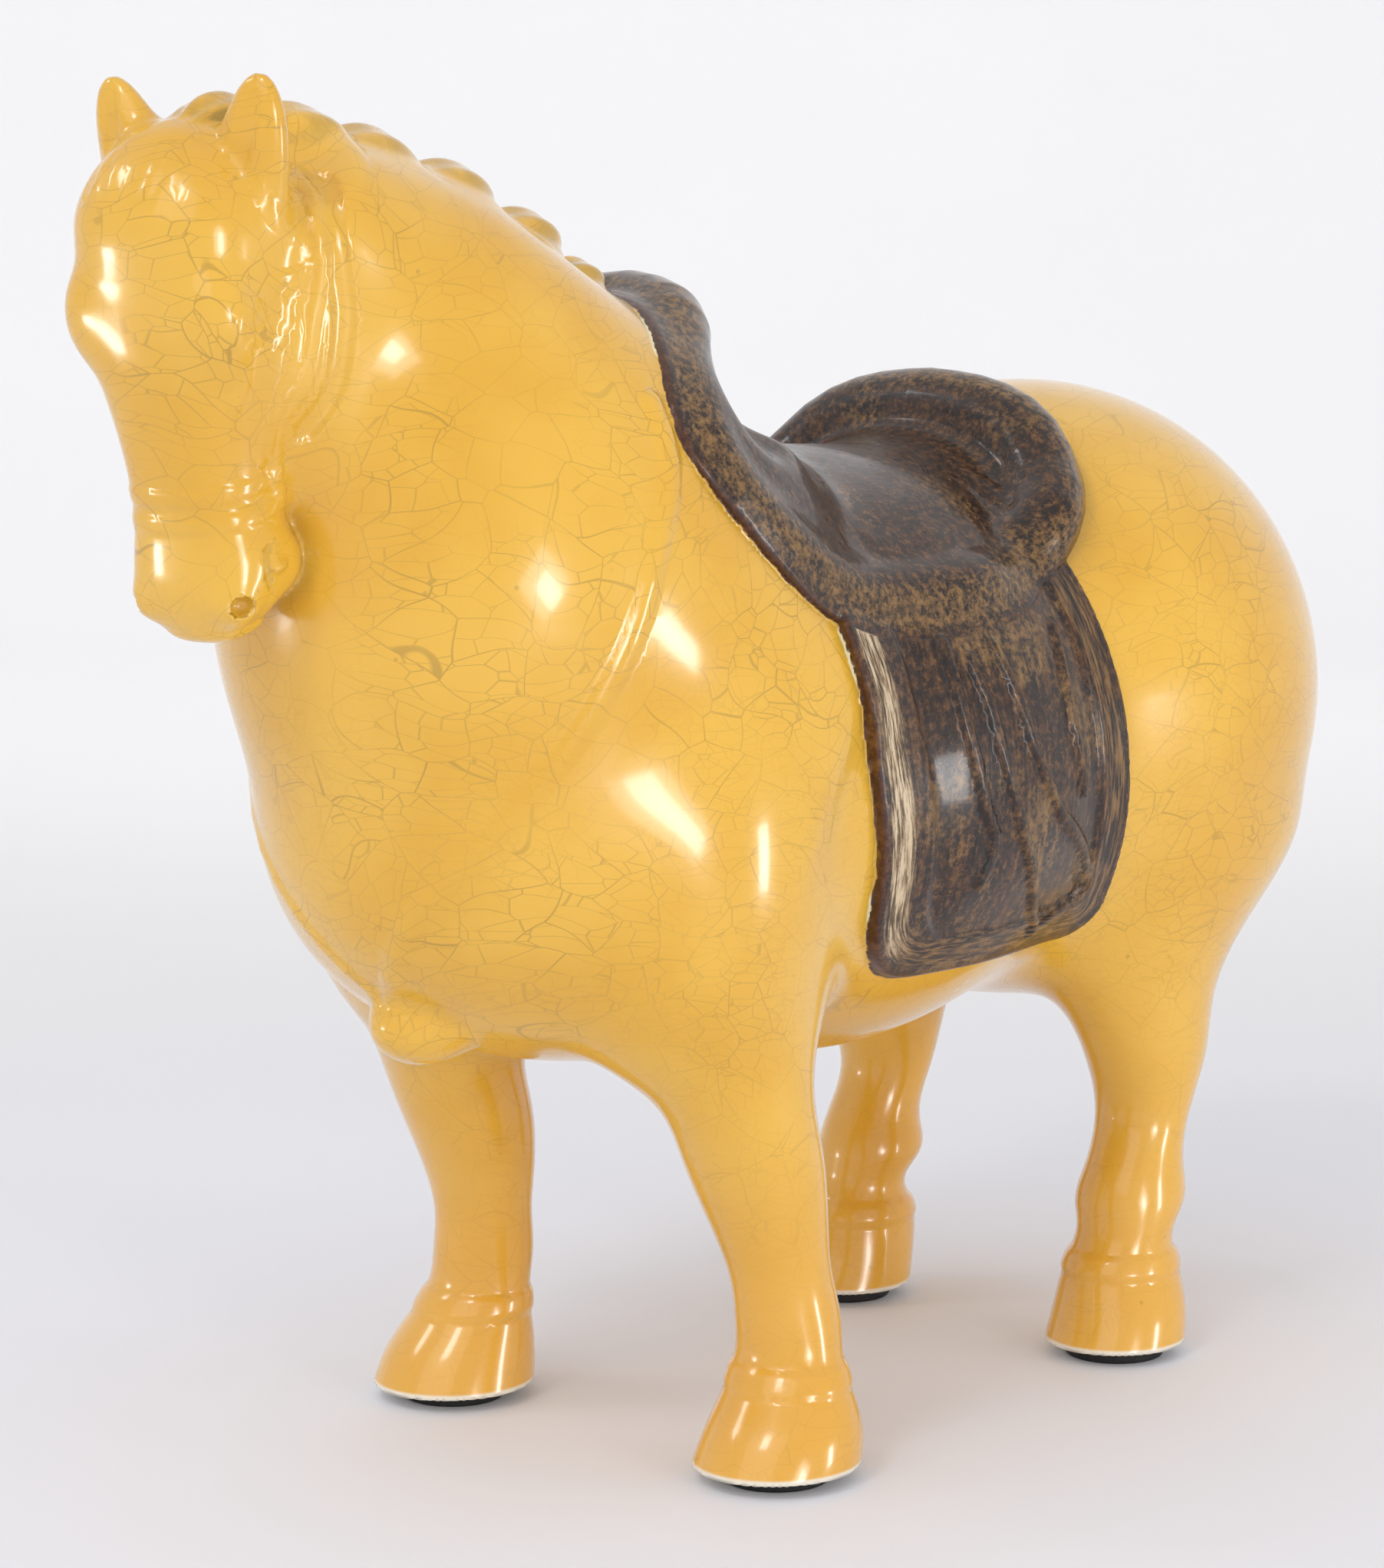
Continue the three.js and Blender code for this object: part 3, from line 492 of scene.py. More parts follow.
def saddle_path():
    """The saddle's rolled edge as x, y, z, radius, smoothed along its length."""
    rim = np.array(RIM, float)
    rim[:, :3] = settle(body, rim[:, :3], 5, 8, RIM_SUNK)
    rows = np.concatenate([POMMEL, rim, CANTLE])
    gaps = np.linalg.norm(np.diff(rows[:, :3], axis=0), axis=1)
    along = np.concatenate([[0], np.cumsum(gaps)])
    return Spline(np.column_stack([along, rows]))(np.linspace(0, along[-1], RIM_PIECES + 1)).T


STRAP_PATH = strap_path()
SADDLE_PATH = saddle_path()
TAIL_PATH = [(0, *row) for row in TAIL]
HEAD_RELIEF = [(half, rise, head_line(points)) for half, rise, *points in HEAD_LINES]


def saddle_outline(p):
    (y, z), (half_y, half_z) = SADDLE
    oval = ellipse(p[:, 1] - y, p[:, 2] - z, half_y, half_z)
    front = p[:, 1:] @ SADDLE_FRONT["normal"] - SADDLE_FRONT["reach"]
    return cut(oval, front, BLEND["saddle_front"])


def saddle(p, skin):
    outline = saddle_outline(p)
    swell = slope(-outline, SADDLE_PAD["from"], SADDLE_PAD["to"])
    pad_top = skin - SADDLE_PAD["edge"] - (SADDLE_PAD["middle"] - SADDLE_PAD["edge"]) * swell
    seat = join(pad_top, roll(mirrored(p), SADDLE_PATH), BLEND["rim"])
    return cut(seat, outline, BLEND["saddle_edge"])


def sheared_box(p, form):
    """A rounded panel in the side view; its corners in front and behind may differ."""
    (y, z), (half_y, half_z) = form["at"], form["half"]
    behind = p[:, 1] + form["shear"] * (p[:, 2] - z) - y
    corner = np.where(behind < 0, *form["corners"])
    along = np.abs(behind) - half_y + corner
    down = np.abs(p[:, 2] - z) - half_z + corner
    beyond = np.hypot(np.maximum(along, 0), np.maximum(down, 0))
    return beyond + np.minimum(np.maximum(along, down), 0) - corner


def folds(p):
    side = np.column_stack([np.zeros(len(p)), p[:, 1], p[:, 2]])
    rise = np.zeros(len(p))
    for line in FOLDS:
        nearest = roll(side, [(0, y, z, 0) for y, z in line])
        rise = np.maximum(rise, bump(nearest, FOLD["half"], FOLD["rise"]))
    return rise


def flap(p, skin):
    inside = -sheared_box(p, PANEL)
    border = BORDER["rise"] * slope(inside, BORDER["from"], BORDER["to"])
    stuffing = STUFFING["rise"] * slope(inside, STUFFING["from"], STUFFING["to"])
    thick = FLAP_RISE + border + stuffing + folds(p)
    cloth = cut(skin - thick, sheared_box(p, FLAP), BLEND["flap_edge"])
    return cut(cloth, FLAP["inside"] - np.abs(p[:, 0]), ENDS["flap_inside"])


REACH = 9
LINE_REACH = 4
BOXES = {
    "tail": ((-12, 200, 62), (12, 250, 232)),
    "strap": ((-70, -95, 108), (70, -25, 258)),
    "tassel": ((-14, -80, 98), (16, -46, 122)),
    "mane": ((-12, -132, 260), (12, 4, 320)),
    "head": ((-40, -175, 188), (40, -88, 328)),
    "flap": ((-90, 8, 108), (90, 128, 236)),
    "saddle": ((-90, -36, 190), (90, 138, 286)),
}


def in_box(p, name):
    low, high = (np.array(v, float) for v in BOXES[name])
    return np.all((p > low - REACH) & (p < high + REACH), axis=1)


def add(skin, p, part, name, width):
    """Joins a part into the skin where its box reaches."""
    near = in_box(p, name)
    if near.any():
        skin[near] = join(skin[near], part(near), width)
    return skin


def horse(p):
    side = mirrored(p)
    bare = body(p)
    skin = bare.copy()
    skin = add(skin, p, lambda near: roll(p[near], TAIL_PATH), "tail", BLEND["tail"])
    skin = add(skin, p, lambda near: roll(side[near], STRAP_PATH), "strap", BLEND["strap"])
    skin = add(skin, p, lambda near: ellipsoid(p[near], TASSEL), "tassel", BLEND["tassel"])
    skin = add(skin, p, lambda near: mane(p[near]), "mane", BLEND["mane"])
    skin = add(skin, p, lambda near: head(p[near]), "head", BLEND["head"])
    close = in_box(p, "head") & (np.abs(skin) < LINE_REACH)
    skin[close] -= relief(into_head(p[close]))
    skin = add(skin, p, lambda near: flap(p[near], bare[near]), "flap", BLEND["dress"])
    return add(skin, p, lambda near: saddle(p[near], bare[near]), "saddle", BLEND["dress"])


def in_parts(field, p, size=300000):
    return np.concatenate([field(p[i : i + size]) for i in range(0, len(p), size)])


def finder(keys):
    """A function that gives each key's place in the sorted keys, or -1."""

    def find(wanted):
        i = np.minimum(np.searchsorted(keys, wanted), len(keys) - 1)
        return np.where(keys[i] == wanted, i, -1)

    return find


def surface_net(field, low, high, step):
    """The level set as a closed quad net, from the grid nodes near it."""
    low, high = np.array(low, float), np.array(high, float)
    wide = step * COARSE
    count = np.ceil((high - low) / wide).astype(int) + 1
    grid = np.stack(np.meshgrid(*[np.arange(n) for n in count], indexing="ij"), -1)
    far = in_parts(field, low + grid.reshape(-1, 3) * wide).reshape(count)
    corners = np.array([[i, j, k] for i in (0, 1) for j in (0, 1) for k in (0, 1)])
    spans = [far[i : count[0] - 1 + i, j : count[1] - 1 + j, k : count[2] - 1 + k] for i, j, k in corners]
    cells = np.argwhere(np.abs(spans).min(0) < wide * 1.2)
    offsets = np.stack(np.meshgrid(*[np.arange(COARSE + 1)] * 3, indexing="ij"), -1).reshape(-1, 3)
    total = (count - 1) * COARSE + 1
    stride = np.array([total[1] * total[2], total[2], 1])
    keys = np.unique((cells[:, None] * COARSE + offsets).reshape(-1, 3) @ stride)
    spot = np.column_stack([keys // stride[0], keys // stride[1] % total[1], keys % total[2]])
    values = in_parts(field, low + spot * step)
    find = finder(keys)
    around = np.stack([find(keys + corner @ stride) for corner in corners], 1)
    whole = np.nonzero(np.all(around >= 0, 1) & np.all(spot + 1 < total, 1))[0]
    inside = values[around[whole]] < 0
    mixed = inside.any(1) & ~inside.all(1)
    base, around = whole[mixed], around[whole[mixed]]
    at_corner = values[around]
    place, hits = np.zeros((len(base), 3)), np.zeros(len(base))
    for a in range(8):
        for b in range(a + 1, 8):
            if np.abs(corners[a] - corners[b]).sum() != 1:
                continue
            crossed = (at_corner[:, a] < 0) != (at_corner[:, b] < 0)
            t = np.where(crossed, at_corner[:, a] / np.where(crossed, at_corner[:, a] - at_corner[:, b], 1), 0)
            place += np.where(crossed[:, None], corners[a] + t[:, None] * (corners[b] - corners[a]), 0)
            hits += crossed
    points = low + (spot[base] + place / hits[:, None]) * step
    cell = finder(keys[base])
    quads = []
    for axis in range(3):
        ahead = find(keys + stride[axis])
        here = np.nonzero((ahead >= 0) & (spot[:, axis] + 1 < total[axis]))[0]
        here = here[(values[here] < 0) != (values[ahead[here]] < 0)]
        u, v = stride[(axis + 1) % 3], stride[(axis + 2) % 3]
        key = keys[here]
        quad = np.stack([cell(key), cell(key - u), cell(key - u - v), cell(key - v)], 1)
        quad = np.where((values[here] < 0)[:, None], quad, quad[:, ::-1])
        quads.append(quad[np.all(quad >= 0, 1)])
    return settle(field, points, step, 2), np.concatenate(quads)


def new_object(name, mesh):
    piece = bpy.data.objects.new(name, mesh)
    bpy.context.scene.collection.objects.link(piece)
    return piece


def to_metres(points):
    return (points - [0, MIDDLE_Y, 0]) * MM


def mesh_points(mesh):
    flat = np.empty(len(mesh.vertices) * 3, np.float32)
    mesh.vertices.foreach_get("co", flat)
    return flat.reshape(-1, 3).astype(float) / MM + [0, MIDDLE_Y, 0]


def thinned(mesh, wanted):
    """The mesh with its flattest triangles joined until the wanted number is left."""
    piece = new_object("thinning", mesh)
    triangles = 2 * len(mesh.polygons)
    if triangles > wanted:
        modifier = piece.modifiers.new("fewer", "DECIMATE")
        modifier.ratio = wanted / triangles
    graph = bpy.context.evaluated_depsgraph_get()
    made = bpy.data.meshes.new_from_object(piece.evaluated_get(graph))
    bpy.data.objects.remove(piece)
    return made


def store(mesh, name, values):
    kind = "FLOAT" if values.ndim == 1 else "FLOAT_VECTOR"
    layer = mesh.attributes.new(name, kind, "POINT")
    layer.data.foreach_set("value" if values.ndim == 1 else "vector", values.astype(np.float32).ravel())


# Bare marks on the left side: chips along the paint's edge, as points and reaches, and the end of a girth
CHIPS = (
    ((34, -22, 264), 10),
    ((68, 12, 193), 10),
    ((66, 20, 131), 6),
    ((57, 104, 116), 10),
    ((36, 124, 232), 9),
)
GIRTH = ((60, 66, 115), (53, 74, 109), (48, 77, 106), (45, 74, 103))
POOL_REACH = 3


def chip_near(p):
    """From 1 at the middle of a chipped stretch of the edge to 0 at its reach."""
    near = np.zeros(len(p))
    for at, reach in CHIPS:
        near = np.maximum(near, 1 - np.linalg.norm(p - at, axis=1) / reach)
    return near


def girth_away(p):
    return roll(p, [(*point, 0) for point in GIRTH])


def casting():
    points, quads = surface_net(horse, LOWEST, HIGHEST, STEP)
    net = bpy.data.meshes.new("net")
    net.from_pydata(to_metres(points), [], quads.tolist())
    mesh = thinned(net, KEEP_TRIANGLES)
    points = settle(horse, mesh_points(mesh), STEP, 2)
    mesh.vertices.foreach_set("co", to_metres(points).astype(np.float32).ravel())
    normals = gradient(horse, points, horse(points))
    steepness = np.linalg.norm(normals, axis=1)
    normals /= steepness[:, None]
    mesh.polygons.foreach_set("use_smooth", np.ones(len(mesh.polygons), bool))
    mesh.normals_split_custom_set_from_vertices(normals)
    store(mesh, "saddle_in", -saddle_outline(points))
    store(mesh, "flap_in", np.where(np.abs(points[:, 0]) > FLAP["inside"], -sheared_box(points, FLAP), -20))
    store(mesh, "hollow", POOL_REACH - horse(points + POOL_REACH * normals) / steepness)
    store(mesh, "mane_away", mane(points))
    store(mesh, "chip_near", chip_near(points))
    store(mesh, "girth_away", girth_away(points))
    mesh.name = "horse_glazed"
    return new_object("horse_glazed", mesh)


# Pads: a disc with rounded edges under each hoof
PAD_RADIUS = 12.5
PAD_HEIGHT = 3.1
PAD_ROUND = 0.7
PAD_SIDES = 64
HOOVES = {
    "front_left": (1, FRONT_LEG[0]),
    "front_right": (-1, FRONT_LEG[0]),
    "hind_left": (1, HIND_LEG[0]),
    "hind_right": (-1, HIND_LEG[0]),
}


def lathe(name, profile, sides, centre=(0, 0)):
    """Turns a profile of radius, height in metres about a vertical axis; the ends on the axis are closed."""
    vertices, faces, rings = [], [], []
    for radius, height in profile:
        if radius == 0:
            rings.append([len(vertices)] * sides)
            vertices.append((centre[0], centre[1], height))
            continue
        rings.append(list(range(len(vertices), len(vertices) + sides)))
        for k in range(sides):
            angle = 2 * math.pi * k / sides
            x, y = radius * math.cos(angle), radius * math.sin(angle)
            vertices.append((centre[0] + x, centre[1] + y, height))
    for low, high in zip(rings[:-1], rings[1:]):
        for k in range(sides):
            m = (k + 1) % sides
            face = dict.fromkeys((low[k], low[m], high[m], high[k]))
            faces.append(tuple(face))
    mesh = bpy.data.meshes.new(name)
    mesh.from_pydata(vertices, [], faces)
    mesh.polygons.foreach_set("use_smooth", np.ones(len(mesh.polygons), bool))
    return new_object(name, mesh)


def pad(name, side, row):
    """A rubber disc whose upper and lower edges are rounded."""
    arc = [math.radians(18 * k) for k in range(6)]
    lower = [(PAD_RADIUS - PAD_ROUND * (1 - math.sin(a)), PAD_ROUND * (1 - math.cos(a))) for a in arc]
    upper = [(radius, PAD_HEIGHT - height) for radius, height in reversed(lower)]
    profile = [(0, 0), *lower, *upper, (0, PAD_HEIGHT)]
    centre = (side * row[1] * MM, (row[2] - MIDDLE_Y) * MM)
    return lathe(f"rubber_pad_{name}", [(r * MM, z * MM) for r, z in profile], PAD_SIDES, centre)


def rgb(red, green, blue):
    """A colour of the screen, 0 to 255, as the linear values that a shader takes."""
    values = (v / 255 for v in (red, green, blue))
    return (*(v / 12.92 if v < 0.04045 else ((v + 0.055) / 1.055) ** 2.4 for v in values), 1)


class Shader:
    """A node material, with short calls for the nodes that it is built from."""

    def __init__(self, name):
        self.material = bpy.data.materials.new(name)
        self.material.use_nodes = True
        self.tree = self.material.node_tree
        self.surface = self.tree.nodes["Principled BSDF"]

    def node(self, kind, inputs, **settings):
        made = self.tree.nodes.new("ShaderNode" + kind)
        for key, value in settings.items():
            setattr(made, key, value)
        self.fill(made, inputs)
        return made

    def fill(self, made, inputs):
        for key, value in inputs.items():
            if isinstance(value, bpy.types.NodeSocket):
                self.tree.links.new(value, made.inputs[key])
            else:
                made.inputs[key].default_value = value

    def finish(self, **inputs):
        self.fill(self.surface, {key.replace("_", " "): value for key, value in inputs.items()})
        return self.material

    def place(self):
        return self.node("TexCoord", {}).outputs["Object"]

    def attribute(self, name, output="Fac"):
        return self.node("Attribute", {}, attribute_name=name).outputs[output]

    def math(self, operation, a, b=0.0, c=0.0):
        return self.node("Math", {0: a, 1: b, 2: c}, operation=operation).outputs[0]

    def vector(self, operation, a, b):
        return self.node("VectorMath", {0: a, 1: b}, operation=operation).outputs[0]

    def noise(self, place, scale, detail=2.0, roughness=0.5, distortion=0.0, output="Fac"):
        inputs = {"Vector": place, "Scale": scale, "Detail": detail, "Roughness": roughness, "Distortion": distortion}
        return self.node("TexNoise", inputs).outputs[output]

    def voronoi(self, place, scale, feature, output, randomness=1.0):
        inputs = {"Vector": place, "Scale": scale, "Randomness": randomness}
        return self.node("TexVoronoi", inputs, feature=feature).outputs[output]

    def step(self, value, low, high, to_low=0.0, to_high=1.0):
        """Runs smoothly from to_low to to_high as the value runs from low to high."""
        inputs = {"Value": value, "From Min": low, "From Max": high, "To Min": to_low, "To Max": to_high}
        return self.node("MapRange", inputs, interpolation_type="SMOOTHSTEP").outputs[0]

    def mix(self, amount, a, b, blend="MIX"):
        inputs = {"Factor": amount, 6: a, 7: b}
        return self.node("Mix", inputs, data_type="RGBA", blend_type=blend).outputs[2]

    def blend(self, amount, a, b):
        return self.node("Mix", {"Factor": amount, 2: a, 3: b}, data_type="FLOAT").outputs[0]

    def bump(self, height, distance, strength=1.0, normal=None):
        inputs = {"Height": height, "Distance": distance, "Strength": strength}
        if normal is not None:
            inputs["Normal"] = normal
        return self.node("Bump", inputs).outputs[0]


YELLOW = rgb(234, 183, 65)
DEEP_YELLOW = rgb(226, 171, 48)
ORANGE = rgb(232, 166, 78)
PALE = rgb(242, 205, 128)
OLIVE = rgb(190, 150, 52)
DARK_OLIVE = rgb(140, 116, 34)
CRACK = rgb(168, 132, 50)
BISQUE = rgb(238, 230, 212)
CREAM = rgb(238, 226, 178)
NEAR_BLACK = rgb(28, 19, 15)
BROWN = rgb(92, 58, 31)
TAN = rgb(148, 114, 66)
# Palest tan of the flap's front border: a painted reflection of the side light on the paint
SHEEN_TAN = rgb(226, 204, 170)
RUST = rgb(88, 44, 22)


def crackle(shader, place):
    """Curved cracks that end on older ones: a fine net, stretched along the horse, inside a coarse one."""
    drift = shader.noise(place, 16, 2, output="Color")
    drift = shader.vector("MULTIPLY", shader.vector("SUBTRACT", drift, (0.5, 0.5, 0.5)), (0.035, 0.035, 0.035))
    bent = shader.vector("ADD", place, drift)
    height = shader.node("SeparateXYZ", {0: place}).outputs[2]
    low = shader.step(height, 0.26, 0.12)
    stretched = shader.vector("MULTIPLY", bent, (0.9, 0.9, 1.25))
    coarse = shader.voronoi(stretched, 78, "DISTANCE_TO_EDGE", "Distance")
    cell = shader.voronoi(stretched, 78, "F1", "Color")
    moved = shader.vector("ADD", shader.vector("MULTIPLY", bent, (0.75, 0.75, 1.6)), cell)
    fine = shader.voronoi(moved, 150, "DISTANCE_TO_EDGE", "Distance", 0.72)
    finest = shader.voronoi(shader.vector("ADD", moved, (3, 1, 2)), 230, "DISTANCE_TO_EDGE", "Distance", 0.7)
    patches = shader.noise(place, 20, 2)
    coarse = shader.step(coarse, 0.013, 0.004)
    fine = shader.math("MULTIPLY", shader.step(fine, 0.022, 0.007), shader.step(patches, 0.32, 0.5, 0.1, 0.8))
    dense = shader.math("MULTIPLY", shader.step(patches, 0.58, 0.46), low)
    finest = shader.math("MULTIPLY", shader.step(finest, 0.03, 0.01), shader.math("MULTIPLY", dense, 0.6))
    cracks = shader.math("MAXIMUM", coarse, shader.math("MAXIMUM", fine, finest))
    patchy = shader.step(shader.noise(place, 40, 2), 0.35, 0.65, 0.4, 1.0)
    on_legs = shader.step(height, 0.06, 0.13, 0.3, 1.0)
    return shader.math("MULTIPLY", cracks, shader.math("MULTIPLY", patchy, on_legs))


def glaze(shader, place, height):
    """Yellow glaze: thin and pale on ridges, olive where it pools in hollows, orange low on the legs."""
    hollow = shader.attribute("hollow")
    cloud = shader.noise(place, 22, 4)
    colour = shader.mix(shader.step(cloud, 0.36, 0.66), YELLOW, DEEP_YELLOW)
    colour = shader.mix(shader.step(height, 0.11, 0.02, 0.0, 0.35), colour, ORANGE)
    colour = shader.mix(shader.step(hollow, -0.15, -1.0, 0.0, 0.45), colour, PALE)
    colour = shader.mix(shader.step(hollow, 0.4, 2.2, 0.0, 0.45), colour, OLIVE)
    near_mane = shader.step(shader.attribute("mane_away"), 5, 1.5)
    combed = shader.math("MULTIPLY", shader.step(hollow, 0.05, 0.9, 0.0, 0.7), near_mane)
    knots = shader.step(shader.attribute("mane_away"), 2.4, 0.8, 0.0, 0.4)
    knots = shader.math("MULTIPLY", knots, shader.step(shader.noise(place, 120, 3), 0.3, 0.6))
    colour = shader.mix(shader.math("MAXIMUM", combed, knots), colour, DARK_OLIVE)
    colour = shader.mix(shader.math("MULTIPLY", crackle(shader, place), 0.62), colour, CRACK)
    speck = shader.step(shader.voronoi(place, 70, "F1", "Distance"), 0.05, 0.03, 0.0, 0.6)
    return shader.mix(speck, colour, OLIVE)


def brush_streaks(shader, place, inward):
    """Noise drawn out along the edges of the painted forms."""
    y, z = shader.node("SeparateXYZ", {0: place}).outputs[1:3]
    drawn = shader.node("CombineXYZ", {0: inward, 1: y, 2: z}).outputs[0]
    return shader.noise(shader.vector("MULTIPLY", drawn, (1.1, 110, 110)), 1, 5, 0.7)


def paint(shader, place, saddle_in, flap_in, on_saddle, streaks):
    """Brown paint over near black, rubbed to gold on the saddle's roll; palest down the flap's front border, a painted
    reflection of the side light.
    """
    mottle = shader.noise(place, 520, 6, 0.75)
    cloud = shader.noise(place, 45, 3)
    strokes = shader.noise(shader.vector("MULTIPLY", place, (150, 420, 30)), 1, 4, 0.65)
    # Nearness to the front, which sets where the painted reflection of the side light lies on the flap's border
    front = shader.step(shader.node("SeparateXYZ", {0: place}).outputs[1], -0.01, -0.024)
    border = shader.math("MULTIPLY", shader.step(flap_in, 12, 8), shader.step(flap_in, 1, 3.5))
    roll = shader.math("MULTIPLY", shader.step(saddle_in, 17, 9), shader.step(saddle_in, 0.5, 4))
    flap_grain = shader.blend(border, shader.blend(0.35, mottle, strokes), streaks)
    grain = shader.blend(on_saddle, flap_grain, shader.blend(0.2, mottle, streaks))

    seat_wear = shader.step(cloud, 0.5, 0.7, 0.0, 0.4)
    flap_wear = shader.step(cloud, 0.46, 0.64, 0.1, 0.6)
    # Border wear grows towards the front: real rubbing plus a painted reflection of the side light
    border_wear_and_sheen = shader.math("MULTIPLY", border, shader.step(front, 0, 1, 0.45, 1.0))
    wear_and_sheen = shader.blend(on_saddle, shader.math("MAXIMUM", flap_wear, border_wear_and_sheen),
                        shader.math("MAXIMUM", seat_wear, shader.math("MULTIPLY", roll, 0.6)))
    dark = shader.mix(shader.step(grain, 0.42, 0.62), NEAR_BLACK, BROWN)
    worn_and_sheen = shader.step(shader.math("MULTIPLY_ADD", wear_and_sheen, 0.22, grain), 0.52, 0.8, 0.0, 0.85)
    # Pale streaks on the front of the flap's border: a painted reflection of the side light
    pale = shader.math("MULTIPLY", shader.step(streaks, 0.4, 0.6), shader.math("MULTIPLY", border, front))
    pale = shader.blend(on_saddle, pale, 0.0)
    return shader.mix(worn_and_sheen, dark, shader.mix(pale, TAN, SHEEN_TAN))


def horse_material():
    shader = Shader("glaze_and_paint")
    place = shader.place()
    height = shader.node("SeparateXYZ", {0: place}).outputs[2]
    yellow = glaze(shader, place, height)
    yellow = shader.mix(shader.step(height, 0.0052, 0.0044), yellow, BISQUE)
    yellow = shader.mix(shader.step(shader.attribute("girth_away"), 0.9, 0.6), yellow, CREAM)

    saddle_in = shader.attribute("saddle_in")
    flap_in = shader.attribute("flap_in")
    on_saddle = shader.step(saddle_in, -0.3, 0.3)
    streaks = brush_streaks(shader, place, shader.blend(on_saddle, flap_in, saddle_in))
    brown = paint(shader, place, saddle_in, flap_in, on_saddle, streaks)
    wobble = shader.step(shader.noise(place, 150, 3), 0.2, 0.8, -0.3, 0.3)
    edge = shader.math("ADD", shader.math("MAXIMUM", saddle_in, flap_in), wobble)
    brown = shader.mix(shader.step(edge, 1.6, 0.2, 0.0, 0.5), brown, RUST)
    painted = shader.step(edge, -0.5, -0.2)
    chipped = shader.math("MULTIPLY", shader.step(edge, -1.1, -0.9), shader.step(edge, -0.2, -0.4))
    chipped = shader.math("MULTIPLY", chipped, shader.step(shader.attribute("chip_near"), 0.05, 0.3))
    colour = shader.mix(chipped, shader.mix(painted, yellow, brown), CREAM)

    satin = shader.step(shader.noise(place, 60, 4), 0.35, 0.65, 0.2, 0.36)
    return shader.finish(
        Base_Color=colour,
        Roughness=shader.blend(painted, 0.24, satin),
        Specular_IOR_Level=0.4,
        Coat_Weight=shader.blend(painted, 0.75, 0.3),
        Coat_Roughness=0.1,
        Normal=shader.bump(shader.math("MULTIPLY", streaks, painted), 0.0003, 0.45),
    )


def rubber_material():
    shader = Shader("black_rubber")
    place = shader.place()
    grain = shader.noise(place, 1800, 4, 0.6)
    colour = shader.mix(grain, rgb(16, 16, 18), rgb(38, 37, 38))
    roughness = shader.step(grain, 0.3, 0.7, 0.6, 0.85)
    return shader.finish(Base_Color=colour, Roughness=roughness, Normal=shader.bump(grain, 0.0001, 0.4))


# Studio: a pale dish, softboxes and the photographed view
DISH_FLAT = 1.7
DISH_BEND = 0.8
DISH_TOP = 2.4
TARGET = (0.0006, -0.021, 0.1555)
VIEW_AZIMUTH = 42
VIEW_ELEVATION = 8
VIEW_DISTANCE = 1.065
FOCAL_PIXELS = 5800
PHOTO = (1804, 2044)
AXIS_PIXEL = (901.5, 1015.6)
SENSOR = 24
LIT_POINT = (0, -0.06, 0.2)
BACKDROP_POINT = (-1.6, 1.8, 0.3)
AMBIENT = 0.79
AMBIENT_COLOUR = (1, 0.99, 0.985, 1)


def direction(azimuth, elevation):
    """From the horse outwards: azimuth 0 is ahead of it, 90 on its left."""
    a, e = math.radians(azimuth), math.radians(elevation)
    return Vector((math.sin(a) * math.cos(e), -math.cos(a) * math.cos(e), math.sin(e)))


def camera():
    data = bpy.data.cameras.new("camera")
    data.sensor_fit = "VERTICAL"
    data.sensor_height = SENSOR
    data.lens = SENSOR * FOCAL_PIXELS / PHOTO[1]
    data.shift_x = (PHOTO[0] / 2 - AXIS_PIXEL[0]) / PHOTO[1]
    data.shift_y = (AXIS_PIXEL[1] - PHOTO[1] / 2) / PHOTO[1]
    data.clip_start = 0.05
    made = new_object("camera", data)
    towards = direction(VIEW_AZIMUTH, VIEW_ELEVATION)
    made.location = Vector(TARGET) + towards * VIEW_DISTANCE
    made.rotation_euler = towards.to_track_quat("Z", "Y").to_euler()
    bpy.context.scene.camera = made


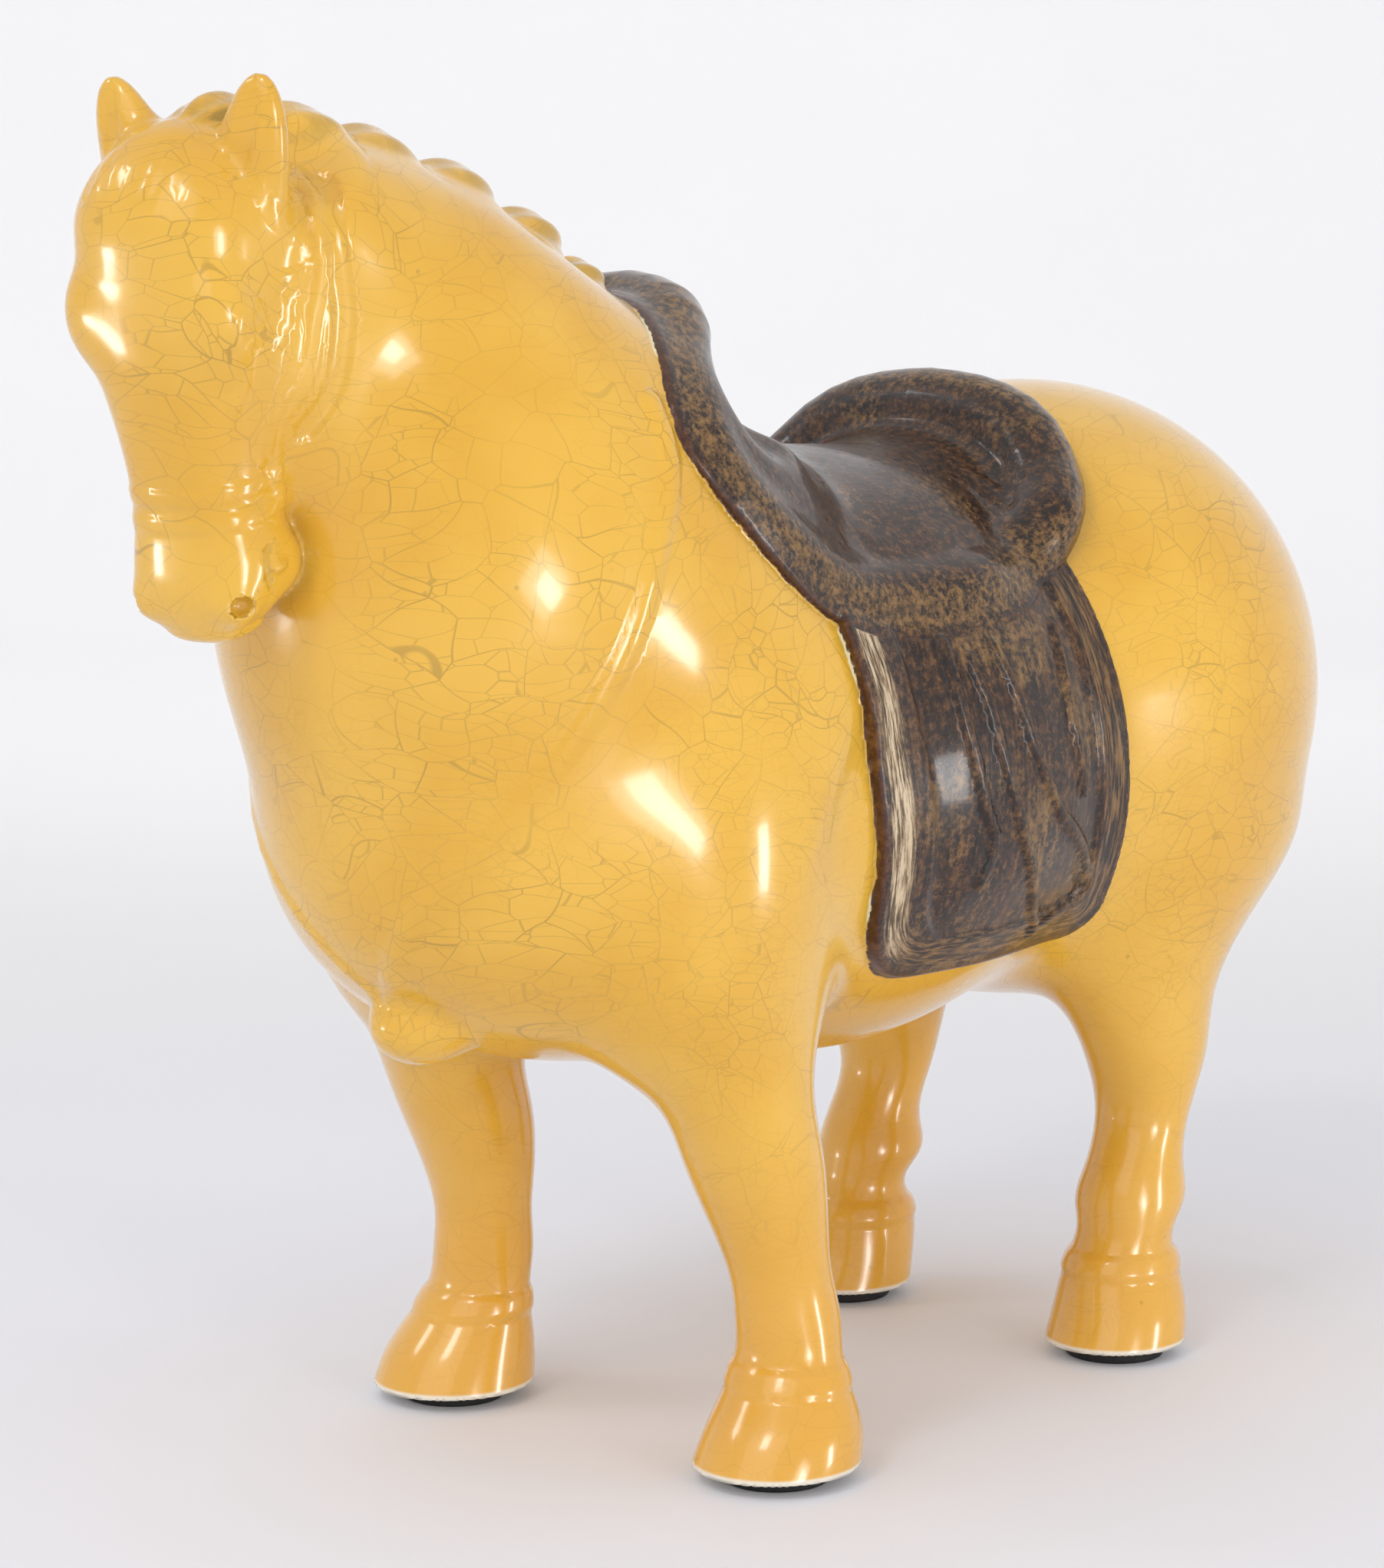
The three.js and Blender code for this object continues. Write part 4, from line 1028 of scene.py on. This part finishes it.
def dish():
    arc = [math.radians(90 * k / 24) for k in range(25)]
    bend = [(DISH_FLAT + DISH_BEND * math.sin(a), DISH_BEND * (1 - math.cos(a))) for a in arc]
    profile = [(0, 0), (DISH_FLAT / 2, 0), *bend, (DISH_FLAT + DISH_BEND, DISH_TOP)]
    made = lathe("floor", profile, 128)
    shader = Shader("pale_floor")
    place = shader.place()
    tone = shader.noise(place, 3, 3)
    away = shader.node("VectorMath", {0: place}, operation="LENGTH").outputs["Value"]
    far = shader.mix(tone, rgb(236, 236, 238), rgb(241, 241, 242))
    # Bluer near the horse: a painted tint that cancels the warm light the yellow glaze throws on the floor
    colour = shader.mix(shader.step(away, 0.15, 0.7), rgb(240, 242, 250), far)
    made.data.materials.append(shader.finish(Base_Color=colour, Roughness=0.7))


def softbox(name, azimuth, elevation, distance, spread, brightness, turn=0.0, aim=LIT_POINT):
    """A soft light seen over a spread of degrees from its distance, with the given radiance."""
    data = bpy.data.lights.new(name, "AREA")
    data.shape = "RECTANGLE"
    data.size, data.size_y = (2 * distance * math.tan(math.radians(angle / 2)) for angle in spread)
    data.energy = math.pi * data.size * data.size_y * brightness
    made = new_object(name, data)
    made.location = Vector(LIT_POINT) + direction(azimuth, elevation) * distance
    away = (made.location - Vector(aim)).to_track_quat("Z", "Y")
    made.rotation_euler = (away @ Quaternion((0, 0, 1), math.radians(turn))).to_euler()


def studio():
    world = bpy.data.worlds.new("studio")
    world.use_nodes = True
    background = world.node_tree.nodes["Background"]
    background.inputs["Color"].default_value = AMBIENT_COLOUR
    background.inputs["Strength"].default_value = AMBIENT
    bpy.context.scene.world = world
    bpy.context.scene.view_settings.view_transform = "Standard"
    softbox("key", 78, 1, 1.15, (15, 16), 3.8, 45)
    softbox("key_middle", 80, -1, 1.1, (7, 10), 11, 45)
    softbox("rear_side", 115, -7, 0.85, (6, 13), 16)
    softbox("front_high", 13, 46, 1.6, (10, 11), 10)
    softbox("far_front", -38, -8, 1.1, (8, 5), 15)
    softbox("far_side", -52, 36, 1.6, (8, 7), 8)
    softbox("fill", 15, 35, 2.2, (50, 40), 0.75)
    softbox("backdrop", 222, 40, 1.5, (60, 30), 1.45, aim=BACKDROP_POINT)


horse_piece = casting()
horse_piece.data.materials.clear()
horse_piece.data.materials.append(horse_material())
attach(horse_piece, "root")
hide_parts("horse")

rubber = rubber_material()
for name, (side, row) in HOOVES.items():
    disc = pad(name, side, row)
    disc.data.materials.append(rubber)
    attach(disc, "root")
    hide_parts(f"pad_{name}")

dish()
studio()
camera()
